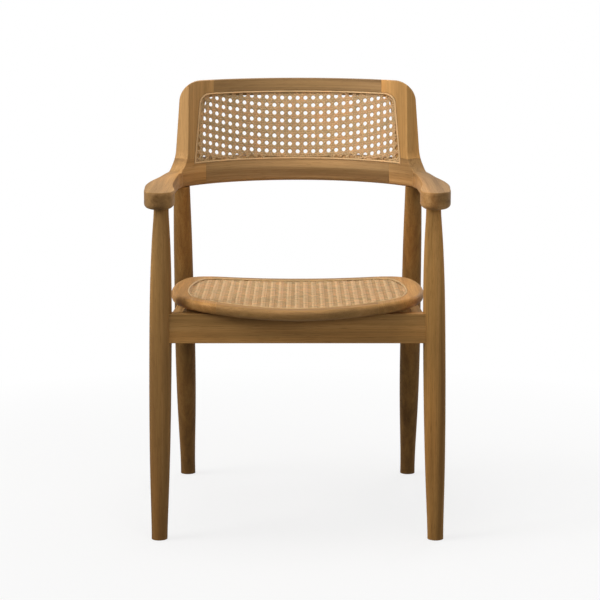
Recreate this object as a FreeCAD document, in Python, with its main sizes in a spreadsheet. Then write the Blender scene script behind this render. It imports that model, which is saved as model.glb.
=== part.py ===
import FreeCAD, Part
import math
import os

import Sketcher

from FreeCAD import Placement, Rotation, Vector

# Wooden armchair with a woven cane seat and back.
# Origin: on the floor under the middle of the chair. Seen from the front, +X is to the
# right, +Y to the back and +Z up; left and right are as seen from there. Millimetres.

os.makedirs("parts", exist_ok=True)
doc = FreeCAD.newDocument("cane_armchair")

SIZES = {
    # overall
    "overall_width": 569,
    "overall_depth": 582,
    "overall_height": 842,
    "arm_top_height": 669,
    "arm_thickness": 32,
    "arm_reach": 230,
    "arms_inside_width": 471,
    "joint_gap": 0.2,
    "overrun": 20,
    "arm_underside_radius": 8,
    "arm_top_radius": 1.5,
    # curved back: a leaning sheet bent to one radius
    "bow_centre_ahead": 54,
    "bow_inner_radius": 259,
    "bow_thickness": 33,
    "crest_thickness": 20,
    "bow_rise": 27,
    "back_lean_angle": 17,
    "stile_half_spread": 218,
    "upsweep_radius": 58,
    "crest_corner_radius": 40,
    "arm_joint_height": 692,
    "arm_joint_half_spread": 184,
    "crest_joint_half_spread": 170,
    "crest_depth": 24,
    # cane panel of the back
    "back_cane_bottom_height": 680,
    "back_cane_bottom_half_width": 207,
    "back_cane_top_half_width": 196.5,
    "back_cane_corner_radius": 20,
    "cane_recess_depth": 4,
    "cane_thickness": 2,
    "cane_ledge_width": 9,
    "cane_pitch": 16,
    "cane_hole_diameter": 8.4,
    "spline_width": 5,
    "spline_rise": 1,
    "seating_gap": 0.3,
    # legs
    "front_foot_spread": 524,
    "front_neck_spread": 503,
    "front_leg_setback": 76,
    "front_leg_diameter": 42,
    "rear_neck_spread": 463,
    "rear_foot_spread": 469,
    "rear_leg_diameter": 41,
    "rear_foot_diameter": 31,
    "leg_tenon_diameter": 18,
    "leg_tenon_length": 22,
    # foot glides
    "glide_diameter": 20,
    "glide_thickness": 4,
    "glide_sink": 3,
    "glide_nail_diameter": 3,
    "glide_nail_length": 18,
    # rails between the legs
    "apron_bottom_height": 381,
    "apron_height": 55,
    "apron_thickness": 25,
    "side_rail_bottom_height": 360,
    "side_rail_height": 30,
    "side_rail_thickness": 20,
    "rear_rail_bottom_height": 367,
    "rear_rail_height": 61,
    "rear_rail_thickness": 22,
    "rear_rail_ahead_of_leg": 8,
    "rail_shoulder": 15,
    "rail_tenon_length": 11,
    "rail_tenon_thickness": 9,
    "rail_tenon_inset": 8,
    # seat frame, a dished slab
    "seat_front_height": 453,
    "seat_half_width": 242,
    "seat_length": 450,
    "seat_thickness": 20,
    "seat_border": 31,
    "seat_dish_depth": 11,
    "seat_dish_half_width": 200,
    "seat_slope_drop": 12,
    "seat_upper_edge_radius": 7.5,
    "seat_lower_edge_radius": 11,
    "seat_joint_half_spread": 150,
    "seat_opening_pitch": 32,
    "seat_opening_width": 16,
    # hidden fixings
    "block_length": 34,
    "block_height": 34,
    "block_depth": 22,
    "front_block_half_spread": 190,
    "rear_block_half_spread": 110,
    "seat_screw_diameter": 4,
    "seat_screw_head_diameter": 8,
    "seat_screw_head_height": 2.5,
    "seat_screw_bite": 12,
    "block_screw_diameter": 3.5,
    "block_screw_head_diameter": 7,
    "block_screw_head_height": 2,
    "block_screw_bite": 14,
    "dowel_diameter": 8,
    "dowel_length": 40,
    "crest_dowel_diameter": 6,
}

sizes = doc.addObject("Spreadsheet::Sheet", "sizes")
for row, (alias, number) in enumerate(SIZES.items(), start=1):
    sizes.set(f"A{row}", alias)
    sizes.set(f"B{row}", str(number))
    sizes.setAlias(f"B{row}", alias)
doc.recompute()


def size(alias):
    """One driving dimension, read back from the sheet."""
    return float(sizes.get(alias))


def bind(thing, formulas):
    """Bind properties of an object to formulas over the sheet."""
    for prop, formula in formulas.items():
        thing.setExpression(prop, formula)
    return thing


def shaped(name, shape):
    """A feature whose shape is made here, for forms no primitive gives."""
    thing = doc.addObject("Part::Feature", name)
    thing.Shape = shape
    return thing


def box(name, formulas):
    return bind(doc.addObject("Part::Box", name), formulas)


def cylinder(name, formulas):
    return bind(doc.addObject("Part::Cylinder", name), formulas)


def cut(name, base, tool):
    thing = doc.addObject("Part::Cut", name)
    thing.Base = base
    thing.Tool = tool
    return thing


def common(name, base, tool):
    thing = doc.addObject("Part::Common", name)
    thing.Base = base
    thing.Tool = tool
    return thing


def fuse(name, things):
    thing = doc.addObject("Part::MultiFuse", name)
    thing.Shapes = things
    return thing


def group(name, things):
    """Several separate solids that share one node."""
    thing = doc.addObject("Part::Compound", name)
    thing.Links = things
    return thing


nodes = {}


def node(name, thing):
    """Name a finished sub-part; the name is its file's name."""
    thing.Label = name
    nodes[name] = thing
    return thing


SIDES = (("left", -1), ("right", 1))

# Curved outlines are chains of arcs that run on smoothly from one to the next.


def arc_from(start, way, end):
    """The arc that leaves start along way and reaches end; a line where it is all but straight."""
    chord = end - start
    across = Vector(-way.y, way.x, 0)
    bend = across.dot(chord)
    if abs(bend) < STRAIGHT_SHARE * chord.Length:
        return Part.makeLine(start, end)
    swing = chord.dot(chord) / (2 * bend)
    centre = start + across * swing
    outward = (start + chord / 2 - centre).normalize()
    return Part.Arc(start, centre + outward * abs(swing), end).toShape()


def arc_chain(points, ways):
    """Two arcs between each point and the next, matching the directions at both."""
    edges = []
    for start, end, way, next_way in zip(points, points[1:], ways, ways[1:]):
        chord = end - start
        spread = 1 - way.dot(next_way)
        both = chord.dot(way + next_way)
        if spread < STRAIGHT_SHARE:
            reach = chord.dot(chord) / (4 * chord.dot(next_way))
        else:
            reach = (math.sqrt(both * both + 2 * spread * chord.dot(chord)) - both) / (2 * spread)
        knee = (start + end + (way - next_way) * reach) / 2
        edges.append(arc_from(start, way, knee))
        last = arc_from(end, next_way * -1, knee)
        edges.append(last)
    return edges


STRAIGHT_SHARE = 0.0001

# Heights and places that several pieces share, as formulas over the sheet.

ARM_UNDERSIDE = "(sizes.arm_top_height - sizes.arm_thickness)"
FRONT_LEG_Y = "(sizes.front_leg_setback - sizes.overall_depth / 2)"
BOW_CENTRE_Y = "(-sizes.bow_centre_ahead)"
BOW_MIDDLE_RADIUS = "(sizes.bow_inner_radius + sizes.bow_thickness / 2)"
REAR_NECK_X = "(sizes.rear_neck_spread / 2)"
REAR_NECK_Y = (f"({BOW_CENTRE_Y} + sqrt({BOW_MIDDLE_RADIUS} * {BOW_MIDDLE_RADIUS}"
               f" - {REAR_NECK_X} * {REAR_NECK_X}))")
REAR_FOOT_Y = "((sizes.overall_depth - sizes.rear_foot_diameter) / 2)"
FOOT_HEIGHT = "(sizes.glide_thickness - sizes.glide_sink)"

arm_top = size("arm_top_height")
arm_underside = arm_top - size("arm_thickness")
crest_top = size("overall_height")
bow_centre_y = -size("bow_centre_ahead")
bow_inner_radius = size("bow_inner_radius")
bow_outer_radius = bow_inner_radius + size("bow_thickness")
bow_middle_radius = bow_inner_radius + size("bow_thickness") / 2
facet_height = arm_underside + size("bow_rise")
lean_slope = math.tan(math.radians(size("back_lean_angle")))
overrun = size("overrun")
seat_front_y = -size("overall_depth") / 2


def leaned(height):
    """How far back the leaning panel has moved at a height."""
    return (height - facet_height) * lean_slope


# Plan of the bow and arms.
# Each edge of an arm is a row of points from the back to the tip: how far ahead of the
# bow's centre as a share of the arm's reach, and how far out as a share of half a width.

ARM_OUTER_EDGE_SHARES = ((0.550, 0.900), (0.378, 0.921), (0.152, 0.943), (-0.074, 0.973),
                         (-0.291, 0.994), (-0.509, 1.0), (-0.717, 0.992), (-0.880, 0.979),
                         (-0.962, 0.945), (-1.0, 0.888))
ARM_INNER_EDGE_SHARES = ((-0.962, 0.995), (-0.880, 0.966), (-0.509, 0.985), (-0.148, 0.998),
                         (0.109, 0.995), (0.300, 0.990), (0.420, 0.984), (0.510, 0.968))
BOW_END_ANGLE = 58


def bow_point(radius, angle, height):
    """A point of the bow at an angle from the middle of the back, leaning with height."""
    turn = math.radians(angle)
    ahead = bow_centre_y + leaned(height) + radius * math.cos(turn)
    return Vector(radius * math.sin(turn), ahead, height)


def bow_plan():
    """The closed plan of bow and arms, at the height where the back starts to lean."""
    half_width = size("overall_width") / 2
    half_inside = size("arms_inside_width") / 2
    reach = size("arm_reach")

    def arm_edge(side):
        points = [bow_point(bow_outer_radius, side * BOW_END_ANGLE, facet_height)]
        points += [Vector(side * out * half_width, bow_centre_y + ahead * reach, facet_height)
                   for ahead, out in ARM_OUTER_EDGE_SHARES]
        points += [Vector(side * out * half_inside, bow_centre_y + ahead * reach, facet_height)
                   for ahead, out in ARM_INNER_EDGE_SHARES]
        points += [bow_point(bow_inner_radius, side * BOW_END_ANGLE, facet_height)]
        turn = math.radians(BOW_END_ANGLE)
        forward = Vector(side * math.cos(turn), -math.sin(turn), 0)
        curve = Part.BSplineCurve()
        curve.interpolate(Points=points, InitialTangent=forward, FinalTangent=forward * -1)
        ways = [curve.tangent(curve.parameter(point))[0] for point in points]
        return arc_chain(points, [forward] + ways[1:-1] + [forward * -1])

    def arc(radius):
        left, middle, right = (bow_point(radius, angle, facet_height)
                               for angle in (-BOW_END_ANGLE, 0, BOW_END_ANGLE))
        return Part.Arc(left, middle, right).toShape()

    return Part.Wire(Part.__sortEdges__([arc(bow_outer_radius), arc(bow_inner_radius)]
                                        + arm_edge(1) + arm_edge(-1)))


def wall_thickness(height):
    """Thickness of the leaning back, which thins from the arms' top to the crest."""
    share = (height - arm_top) / (crest_top - arm_top)
    return size("bow_thickness") + share * (size("crest_thickness") - size("bow_thickness"))


plan_face = Part.Face(bow_plan())
bow_blank = shaped("bow_blank", plan_face.extrude(Vector(0, 0, -size("bow_rise"))))
lean_rise = Vector(0, lean_slope, 1) * (crest_top - facet_height)
wall_blank = shaped("wall_blank", plan_face.extrude(lean_rise))

# What the side profile takes away: all above the arms and ahead of the stiles.
# The arm's top runs level, sweeps up on an arc, and goes on as the stile's leaning front.
# Each side is cut square to the bow, so the stiles' fronts turn a little outward.

SIDE_CUT_RUNS = 1.6
ridge_y = bow_centre_y + math.sqrt(bow_inner_radius ** 2 - size("stile_half_spread") ** 2)


def front_line_y(height):
    """The stile's leaning front edge, seen from the side."""
    return ridge_y + leaned(height)


turn_angle = math.radians(90 - size("back_lean_angle"))
tangent_run = size("upsweep_radius") * math.tan(turn_angle / 2)
corner_y = front_line_y(arm_top)
arc_start = Vector(0, corner_y - tangent_run, arm_top)
arc_middle = Vector(0, arc_start.y + size("upsweep_radius") * math.sin(turn_angle / 2),
                    arm_top + size("upsweep_radius") * (1 - math.cos(turn_angle / 2)))
arc_stop_height = arm_top + size("upsweep_radius") * (1 - math.cos(turn_angle))
arc_stop = Vector(0, front_line_y(arc_stop_height), arc_stop_height)
above_crest = crest_top + overrun
ahead_of_arms = seat_front_y - size("overall_width")
profile_corners = [arc_stop, Vector(0, front_line_y(above_crest), above_crest),
                   Vector(0, ahead_of_arms, above_crest), Vector(0, ahead_of_arms, arm_top), arc_start]
profile_edges = [Part.Arc(arc_start, arc_middle, arc_stop).toShape()]
profile_edges += [Part.makeLine(a, b) for a, b in zip(profile_corners, profile_corners[1:])]
profile_face = Part.Face(Part.Wire(profile_edges))
ridge_ahead = ridge_y - bow_centre_y
profile_face.translate(Vector(0, -ridge_ahead, 0))
side_cuts = []
for side_name, side in SIDES:
    way = Vector(side * size("stile_half_spread"), ridge_ahead, 0)
    side_cuts.append(shaped(f"side_profile_{side_name}", profile_face.extrude(way * SIDE_CUT_RUNS)))
swept_wall = cut("swept_wall", wall_blank, fuse("side_profiles", side_cuts))

# The back of the wall is thinned on a leaning cone.

cone_rings = []
for height in (arm_top, above_crest):
    ring_centre = Vector(0, bow_centre_y + leaned(height), height)
    cone_rings.append(Part.Wire(Part.makeCircle(bow_inner_radius + wall_thickness(height), ring_centre)))
thinning_block = Part.makeBox(2 * size("overall_width"), 2 * size("overall_depth"), above_crest - arm_top,
                              Vector(-size("overall_width"), -size("overall_depth"), arm_top))
thinning = shaped("thinning", thinning_block.cut(Part.makeLoft(cone_rings, True, True)))
thinned_wall = cut("thinned_wall", swept_wall, thinning)

# The two top corners of the back, rounded as seen from the front.

corner_radius = size("crest_corner_radius")
corner_height = crest_top - corner_radius
crest_half_width = size("stile_half_spread") * (1 + wall_thickness(corner_height) / bow_inner_radius)
corner_cutters = []
for side_name, side in SIDES:
    centre_x = crest_half_width - corner_radius
    block = Part.makeBox(corner_radius + overrun, size("overall_depth"), corner_radius + overrun,
                         Vector(centre_x, 0, corner_height))
    rod = Part.makeCylinder(corner_radius, size("overall_depth"), Vector(centre_x, 0, corner_height),
                            Vector(0, 1, 0))
    cutter = block.cut(rod)
    if side < 0:
        cutter = cutter.mirror(Vector(0, 0, 0), Vector(1, 0, 0))
    corner_cutters.append(shaped(f"crest_corner_{side_name}", cutter))
back_top_rounding = fuse("back_top_rounding", corner_cutters)
rounded_wall = cut("rounded_wall", thinned_wall, back_top_rounding)

# The window of the back, drawn as it is seen from the front, and the cane's recess round it.

cane_top_height = crest_top - size("crest_depth")
cane_bottom_height = size("back_cane_bottom_height")


def window_wire(inset, corner):
    """The cane panel's outline, moved in by an inset: sharp below, rounded at the top corners."""
    low = cane_bottom_height + inset
    high = cane_top_height - inset
    low_x = size("back_cane_bottom_half_width") - inset
    high_x = size("back_cane_top_half_width") - inset
    slant = math.atan2(high - low, low_x - high_x)
    run = corner / math.tan((math.pi - slant) / 2)
    down = Vector(math.cos(slant), 0, -math.sin(slant)) * run
    bulge = corner / math.sin((math.pi - slant) / 2) - corner
    inward = Vector(-math.sin(slant / 2), 0, -math.cos(slant / 2)) * bulge
    edges = []
    for side in (1, -1):
        peak = Vector(high_x, 0, high)
        corner_points = [peak + down, peak + inward, peak - Vector(run, 0, 0)]
        corner_points = [Vector(side * point.x, 0, point.z) for point in corner_points]
        edges.append(Part.Arc(*corner_points).toShape())
        edges.append(Part.makeLine(Vector(side * low_x, 0, low), corner_points[0]))
    edges.append(Part.makeLine(Vector(-low_x, 0, low), Vector(low_x, 0, low)))
    edges.append(Part.makeLine(Vector(run - high_x, 0, high), Vector(high_x - run, 0, high)))
    return Part.Wire(Part.__sortEdges__(edges))


def window_outline(inset, corner):
    """The panel's outline as a prism through the back."""
    return Part.Face(window_wire(inset, corner)).extrude(Vector(0, size("overall_depth"), 0))


def bow_rod(radius):
    """A leaning rod round the bow's centre: what lies inside the back at that radius."""
    start = Vector(0, bow_centre_y - lean_slope * bow_rise_run, facet_height - bow_rise_run)
    way = Vector(0, lean_slope, 1) * (crest_top - facet_height + 2 * bow_rise_run)
    disc = Part.Face(Part.Wire(Part.makeCircle(radius, start)))
    return disc.extrude(way)


bow_rise_run = size("bow_rise")
cane_back_radius = bow_inner_radius + size("cane_recess_depth")
cane_front_radius = cane_back_radius - size("cane_thickness")
ledge = size("cane_ledge_width")
gap = size("seating_gap")
cane_corner = size("back_cane_corner_radius")

window = shaped("window", window_outline(ledge, cane_corner - ledge / 2))
recess = shaped("recess", window_outline(0, cane_corner).common(bow_rod(cane_back_radius)))
window_and_recess = fuse("window_and_recess", [window, recess])
open_wall = cut("open_wall", rounded_wall, window_and_recess)
sharp_frame = fuse("sharp_frame", [bow_blank, open_wall])

# The arms and bow are rounded well below and eased above.

doc.recompute()
eased = sharp_frame.Shape
for level, radius in ((arm_underside, size("arm_underside_radius")), (arm_top, size("arm_top_radius"))):
    level_edges = [edge for edge in eased.Edges
                   if abs(edge.BoundBox.ZMin - level) < gap and abs(edge.BoundBox.ZMax - level) < gap]
    eased = eased.makeFillet(radius, level_edges)
back_and_arms = shaped("back_and_arms", eased)

# Where the arms, rails and stiles of that form meet, and the dowels across each joint.


def dowel(name, diameter_alias, middle, direction):
    """A dowel centred on a joint, and the hole that takes it."""
    rod = bind(doc.addObject("Part::Cylinder", name),
               {"Radius": f"sizes.{diameter_alias} / 2", "Height": "sizes.dowel_length"})
    hole = bind(doc.addObject("Part::Cylinder", f"{name}_hole"),
                {"Radius": f"sizes.{diameter_alias} / 2 + sizes.joint_gap",
                 "Height": "sizes.dowel_length + 2 * sizes.joint_gap"})
    way = Vector(direction).normalize()
    turn = Rotation(Vector(0, 0, 1), way)
    half = size("dowel_length") / 2
    rod.Placement = Placement(middle - way * half, turn)
    hole.Placement = Placement(middle - way * (half + size("joint_gap")), turn)
    return rod, hole


def angle_at(half_spread, radius):
    return math.degrees(math.asin(half_spread / radius))


frame_dowels = []
frame_holes = []
rail_angle = angle_at(size("arm_joint_half_spread"), bow_middle_radius)
rail_step = size("bow_rise") / 2
crest_angle = angle_at(size("crest_joint_half_spread"), bow_middle_radius)
crest_dowel_height = cane_top_height + (size("crest_depth") - ledge) / 2
crest_wall = wall_thickness(crest_dowel_height)
crest_middle_radius = bow_inner_radius + (crest_wall + size("cane_recess_depth")) / 2
joint_height = size("arm_joint_height")
stile_angles = (angle_at(size("stile_half_spread") - size("bow_thickness") / 3, bow_middle_radius),
                angle_at(size("stile_half_spread") + size("bow_thickness") / 4, bow_middle_radius))
for side_name, side in SIDES:
    across = Vector(math.cos(math.radians(rail_angle)), -side * math.sin(math.radians(rail_angle)), 0)
    low_height = arm_underside + rail_step
    low = bow_point(bow_middle_radius, side * rail_angle, low_height)
    low = Vector(low.x, low.y - leaned(low_height), low.z)
    pairs = [dowel(f"rail_dowel_{side_name}", "dowel_diameter", low, across)]
    for count, angle in enumerate(stile_angles, start=1):
        middle = bow_point(bow_inner_radius + wall_thickness(joint_height) / 2, side * angle, joint_height)
        pairs.append(dowel(f"stile_dowel_{side_name}_{count}", "crest_dowel_diameter", middle,
                           Vector(0, lean_slope, 1)))
    across = Vector(math.cos(math.radians(crest_angle)), -side * math.sin(math.radians(crest_angle)), 0)
    top = bow_point(crest_middle_radius, side * crest_angle, crest_dowel_height)
    pairs.append(dowel(f"crest_dowel_{side_name}", "crest_dowel_diameter", top, across))
    frame_dowels += [rod for rod, hole in pairs]
    frame_holes += [hole for rod, hole in pairs]
node("back_frame_dowels", group("back_frame_dowels", frame_dowels))

# Legs: round, swelling below the arms, with a round tenon up into the arm.
# Each row holds a share of the leg's height and a share of its largest diameter.

FRONT_LEG_GIRTH_SHARES = ((0, 0.72), (0.12, 0.81), (0.22, 0.895), (0.32, 0.95), (0.45, 0.99),
                          (0.57, 1.0), (0.70, 0.985), (0.79, 0.94), (0.86, 0.87), (0.92, 0.78),
                          (0.96, 0.70), (1.0, 0.665))
REAR_LEG_GIRTH_SHARES = ((0, 0.756), (0.11, 0.80), (0.24, 0.93), (0.38, 1.0), (0.55, 1.0), (0.70, 0.945),
                         (0.82, 0.91), (0.92, 0.85), (1.0, 0.80))


def origin_plane(body, role):
    return [plane for plane in body.Origin.OriginFeatures if plane.Role == role][0]


def circle_sketch(body, name, radius, x, y, z):
    """A level circle of a body, its radius and place bound to the sheet."""
    sketch = body.newObject("Sketcher::SketchObject", name)
    sketch.AttachmentSupport = [(origin_plane(body, "XY_Plane"), "")]
    sketch.MapMode = "FlatFace"
    sketch.addGeometry(Part.Circle(Vector(0, 0, 0), Vector(0, 0, 1), size("leg_tenon_diameter")), False)
    sketch.addConstraint(Sketcher.Constraint("Coincident", 0, 3, -1, 1))
    girth = sketch.addConstraint(Sketcher.Constraint("Radius", 0, size("leg_tenon_diameter")))
    sketch.setExpression(f"Constraints[{girth}]", radius)
    bind(sketch, {"AttachmentOffset.Base.x": x, "AttachmentOffset.Base.y": y,
                  "AttachmentOffset.Base.z": z})
    return sketch


def turned_leg(name, girth_shares, diameter, foot, neck):
    """A body lofted through level circles from foot to neck, with its tenon on top."""
    body = doc.addObject("PartDesign::Body", name)
    circles = []
    for count, (height, girth) in enumerate(girth_shares, start=1):
        x, y = (f"({low}) + (({high}) - ({low})) * {height}" for low, high in zip(foot, neck))
        circles.append(circle_sketch(body, f"{name}_ring_{count}", f"{diameter} / 2 * {girth}",
                                     x, y, f"{FOOT_HEIGHT} + ({ARM_UNDERSIDE} - {FOOT_HEIGHT}) * {height}"))
    doc.recompute()
    shank = body.newObject("PartDesign::AdditiveLoft", f"{name}_shank")
    shank.Profile = circles[0]
    shank.Sections = circles[1:]
    shank.Ruled = False
    tenon = circle_sketch(body, f"{name}_tenon_circle", "sizes.leg_tenon_diameter / 2",
                          neck[0], neck[1], ARM_UNDERSIDE)
    doc.recompute()
    pad = body.newObject("PartDesign::Pad", f"{name}_tenon")
    pad.Profile = tenon
    pad.setExpression("Length", "sizes.leg_tenon_length")
    body.Tip = pad
    doc.recompute()
    return body


leg_places = {}
for side_name, side in SIDES:
    leg_places[f"front_leg_{side_name}"] = (
        FRONT_LEG_GIRTH_SHARES, "sizes.front_leg_diameter",
        (f"{side} * sizes.front_foot_spread / 2", FRONT_LEG_Y),
        (f"{side} * sizes.front_neck_spread / 2", FRONT_LEG_Y))
    leg_places[f"rear_leg_{side_name}"] = (
        REAR_LEG_GIRTH_SHARES, "sizes.rear_leg_diameter",
        (f"{side} * sizes.rear_foot_spread / 2", REAR_FOOT_Y), (f"{side} * {REAR_NECK_X}", REAR_NECK_Y))

blanks = {name: turned_leg(f"{name}_blank", *place) for name, place in leg_places.items()}

# Bores in the arms for the legs' tenons.

arm_bores = []
for name, (shares, diameter, foot, neck) in leg_places.items():
    arm_bores.append(cylinder(f"{name}_bore", {
        "Radius": "sizes.leg_tenon_diameter / 2 + sizes.joint_gap",
        "Height": "sizes.leg_tenon_length + sizes.joint_gap",
        "Placement.Base.x": neck[0], "Placement.Base.y": neck[1], "Placement.Base.z": ARM_UNDERSIDE}))

drilled_frame = cut("drilled_frame", back_and_arms, fuse("frame_bores", arm_bores + frame_holes))

# The fair form above is sawn into its six members at flat joints.

FAR = "sizes.overall_depth"
arm_zone = {"Length": FAR, "Width": f"2 * {FAR}", "Height": "sizes.arm_joint_height",
            "Placement.Base.y": f"-{FAR}"}
upper_zone = {"Length": FAR, "Width": f"2 * {FAR}", "Height": "sizes.overall_height",
              "Placement.Base.y": f"-{FAR}", "Placement.Base.z": "sizes.arm_joint_height"}
for side_name, side in SIDES:
    offset = "" if side > 0 else f" - {FAR}"
    zone = box(f"arm_zone_{side_name}", dict(
        arm_zone, **{"Placement.Base.x": f"{side} * sizes.arm_joint_half_spread{offset}"}))
    node(f"arm_{side_name}", common(f"arm_{side_name}", drilled_frame, zone))
    zone = box(f"stile_zone_{side_name}", dict(
        upper_zone, **{"Placement.Base.x": f"{side} * sizes.crest_joint_half_spread{offset}"}))
    node(f"back_stile_{side_name}", common(f"back_stile_{side_name}", drilled_frame, zone))
middle_height = "((sizes.back_cane_bottom_height + sizes.overall_height) / 2)"
zone = box("lower_rail_zone", {
    "Length": "2 * sizes.arm_joint_half_spread", "Width": f"2 * {FAR}", "Height": "sizes.arm_joint_height",
    "Placement.Base.x": "-sizes.arm_joint_half_spread", "Placement.Base.y": f"-{FAR}"})
rail_top_zone = box("rail_top_zone", {
    "Length": "2 * sizes.crest_joint_half_spread", "Width": f"2 * {FAR}",
    "Height": f"{middle_height} - sizes.arm_joint_height",
    "Placement.Base.x": "-sizes.crest_joint_half_spread", "Placement.Base.y": f"-{FAR}",
    "Placement.Base.z": "sizes.arm_joint_height"})
lower_rail_zones = fuse("lower_rail_zones", [zone, rail_top_zone])
node("back_lower_rail", common("back_lower_rail", drilled_frame, lower_rail_zones))
zone = box("crest_zone", {
    "Length": "2 * sizes.crest_joint_half_spread", "Width": f"2 * {FAR}", "Height": "sizes.overall_height",
    "Placement.Base.x": "-sizes.crest_joint_half_spread", "Placement.Base.y": f"-{FAR}",
    "Placement.Base.z": middle_height})
node("crest_rail", common("crest_rail", drilled_frame, zone))

# Cane sheet of the back, and the thin spline that holds its edge down in the recess.

fit_inset = gap
spline_width = size("spline_width")
back_sheet = bow_rod(cane_back_radius - gap).cut(bow_rod(cane_front_radius - gap))
back_outline = window_outline(fit_inset, cane_corner)
back_panel = back_outline.common(back_sheet)


def back_cane_holes():
    """Round holes square to the bent sheet, in straight rows of the flat webbing it was cut from."""
    lean = math.radians(size("back_lean_angle"))
    pitch = size("cane_pitch")
    hole_radius = size("cane_hole_diameter") / 2
    margin = spline_width + hole_radius
    middle_height = (cane_bottom_height + cane_top_height) / 2
    middle_y = bow_centre_y + leaned(middle_height) + cane_back_radius
    holes = []
    for column in range(-COLUMNS_EACH_SIDE, COLUMNS_EACH_SIDE + 1):
        angle = 0
        for step in range(ANGLE_STEPS):
            stretch = math.hypot(math.cos(angle), math.sin(angle) * math.cos(lean))
            angle += column * pitch / (ANGLE_STEPS * cane_back_radius * stretch)
        sag = cane_back_radius * (1 - math.cos(angle))
        x = cane_back_radius * math.sin(angle)
        normal = Vector(math.sin(angle), math.cos(angle), -lean_slope * math.cos(angle)).normalize()
        for row in range(-ROWS_EACH_SIDE, ROWS_EACH_SIDE):
            along = (row + 0.5) * pitch
            z = middle_height + along * math.cos(lean) + sag * math.sin(lean) * math.cos(lean)
            y = middle_y - sag + (z - middle_height) * lean_slope
            low_room = z - cane_bottom_height - margin
            high_room = cane_top_height - z - margin
            share = (z - cane_bottom_height) / (cane_top_height - cane_bottom_height)
            low_half, high_half = size("back_cane_bottom_half_width"), size("back_cane_top_half_width")
            half_width = low_half + share * (high_half - low_half)
            if low_room > 0 and high_room > 0 and half_width - abs(x) > margin:
                reach = size("cane_thickness")
                start = Vector(x, y, z) - normal * 2 * reach
                holes.append(Part.makeCylinder(hole_radius, 3 * reach, start, normal))
    return Part.makeCompound(holes)


ANGLE_STEPS = 60
COLUMNS_EACH_SIDE = 15
ROWS_EACH_SIDE = 6
node("back_cane", shaped("back_cane", back_panel.cut(back_cane_holes())))
ring_face = Part.Face(window_wire(fit_inset, cane_corner)).cut(
    Part.Face(window_wire(spline_width, cane_corner - spline_width / 2)))
spline_ring = ring_face.extrude(Vector(0, size("overall_depth"), 0))
spline_shell = bow_rod(cane_front_radius - 2 * gap).cut(bow_rod(bow_inner_radius - size("spline_rise")))
node("back_spline", shaped("back_spline", spline_ring.common(spline_shell)))

# Seat: one slab, dished from side to side and sloping back, sawn to a rounded outline.
# Points from the middle of the front round to the middle of the back, as shares of
# half the width and of the length.

SEAT_OUTLINE_SHARES = ((0, 0), (0.20, 0.012), (0.42, 0.045), (0.62, 0.088), (0.80, 0.140), (0.925, 0.215),
                       (0.985, 0.33), (1.0, 0.45), (0.99, 0.60), (0.955, 0.74), (0.885, 0.855),
                       (0.74, 0.935), (0.52, 0.972), (0.26, 0.992), (0, 1.0))

dish_half = size("seat_dish_half_width")
dish_depth = size("seat_dish_depth")
dish_radius = (dish_half ** 2 + dish_depth ** 2) / (2 * dish_depth)
seat_slope = math.degrees(math.asin(size("seat_slope_drop") / size("seat_length")))


def seat_outline(inset):
    """The seat's outline in plan, moved in by an inset."""
    right = [Vector(x * size("seat_half_width"), seat_front_y + y * size("seat_length"), 0)
             for x, y in SEAT_OUTLINE_SHARES]
    left = [Vector(-point.x, point.y, 0) for point in right[-2:0:-1]]
    points = right + left
    curve = Part.BSplineCurve()
    curve.interpolate(Points=points, PeriodicFlag=True)
    ways = [curve.tangent(curve.parameter(point))[0] for point in points]
    moved = [point + Vector(-way.y, way.x, 0) * inset for point, way in zip(points, ways)]
    return Part.Wire(Part.__sortEdges__(arc_chain(moved + moved[:1], ways + ways[:1])))


def raised(plan):
    """A shape drawn on the floor as an upright prism through the seat."""
    prism = plan.extrude(Vector(0, 0, size("seat_front_height") / 2))
    prism.translate(Vector(0, 0, size("seat_front_height") * 3 / 4))
    return prism


def seat_prism(inset):
    """The inset outline as an upright prism through the seat."""
    return raised(Part.Face(seat_outline(inset)))


def dish_rod(depth):
    """A level-ish rod whose underside is the dished surface, depth below the seat's top."""
    radius = dish_radius + depth
    drop = math.radians(seat_slope)
    way = Vector(0, math.cos(drop), -math.sin(drop))
    up = Vector(0, math.sin(drop), math.cos(drop))
    start = Vector(0, seat_front_y, size("seat_front_height")) + up * dish_radius - way * overrun
    return Part.makeCylinder(radius, size("seat_length") + 2 * overrun, start, way)


def seat_surface_height(x, y, depth):
    """Height of the dished surface, depth below the seat's top, over a point of the floor."""
    drop = math.radians(seat_slope)
    axis_height = (size("seat_front_height") + dish_radius / math.cos(drop)
                   - (y - seat_front_y) * math.tan(drop))
    return axis_height - math.sqrt((dish_radius + depth) ** 2 - x ** 2) / math.cos(drop)


def rim_edges(block, depth):
    """The slab's outer edges that lie on the dished surface, depth below the seat's top."""
    found = []
    for edge in block.Edges:
        point = edge.valueAt((edge.FirstParameter + edge.LastParameter) / 2)
        height = seat_surface_height(point.x, point.y, depth)
        if abs(point.z - height) < size("joint_gap") and edge.BoundBox.ZLength < seat_thickness / 2:
            found.append(edge)
    return found


seat_thickness = size("seat_thickness")
seat_border = size("seat_border")
seat_block = seat_prism(0).common(dish_rod(seat_thickness).cut(dish_rod(0)))
seat_block = seat_block.makeFillet(size("seat_upper_edge_radius"), rim_edges(seat_block, 0))
seat_block = seat_block.makeFillet(size("seat_lower_edge_radius"), rim_edges(seat_block, seat_thickness))
seat_block = seat_block.cut(seat_prism(seat_border + ledge))
seat_block = seat_block.cut(seat_prism(seat_border).common(dish_rod(size("cane_recess_depth"))))
seat_ring = shaped("seat_ring", seat_block)

# The ring is sawn into four members, doweled end to end.

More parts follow.
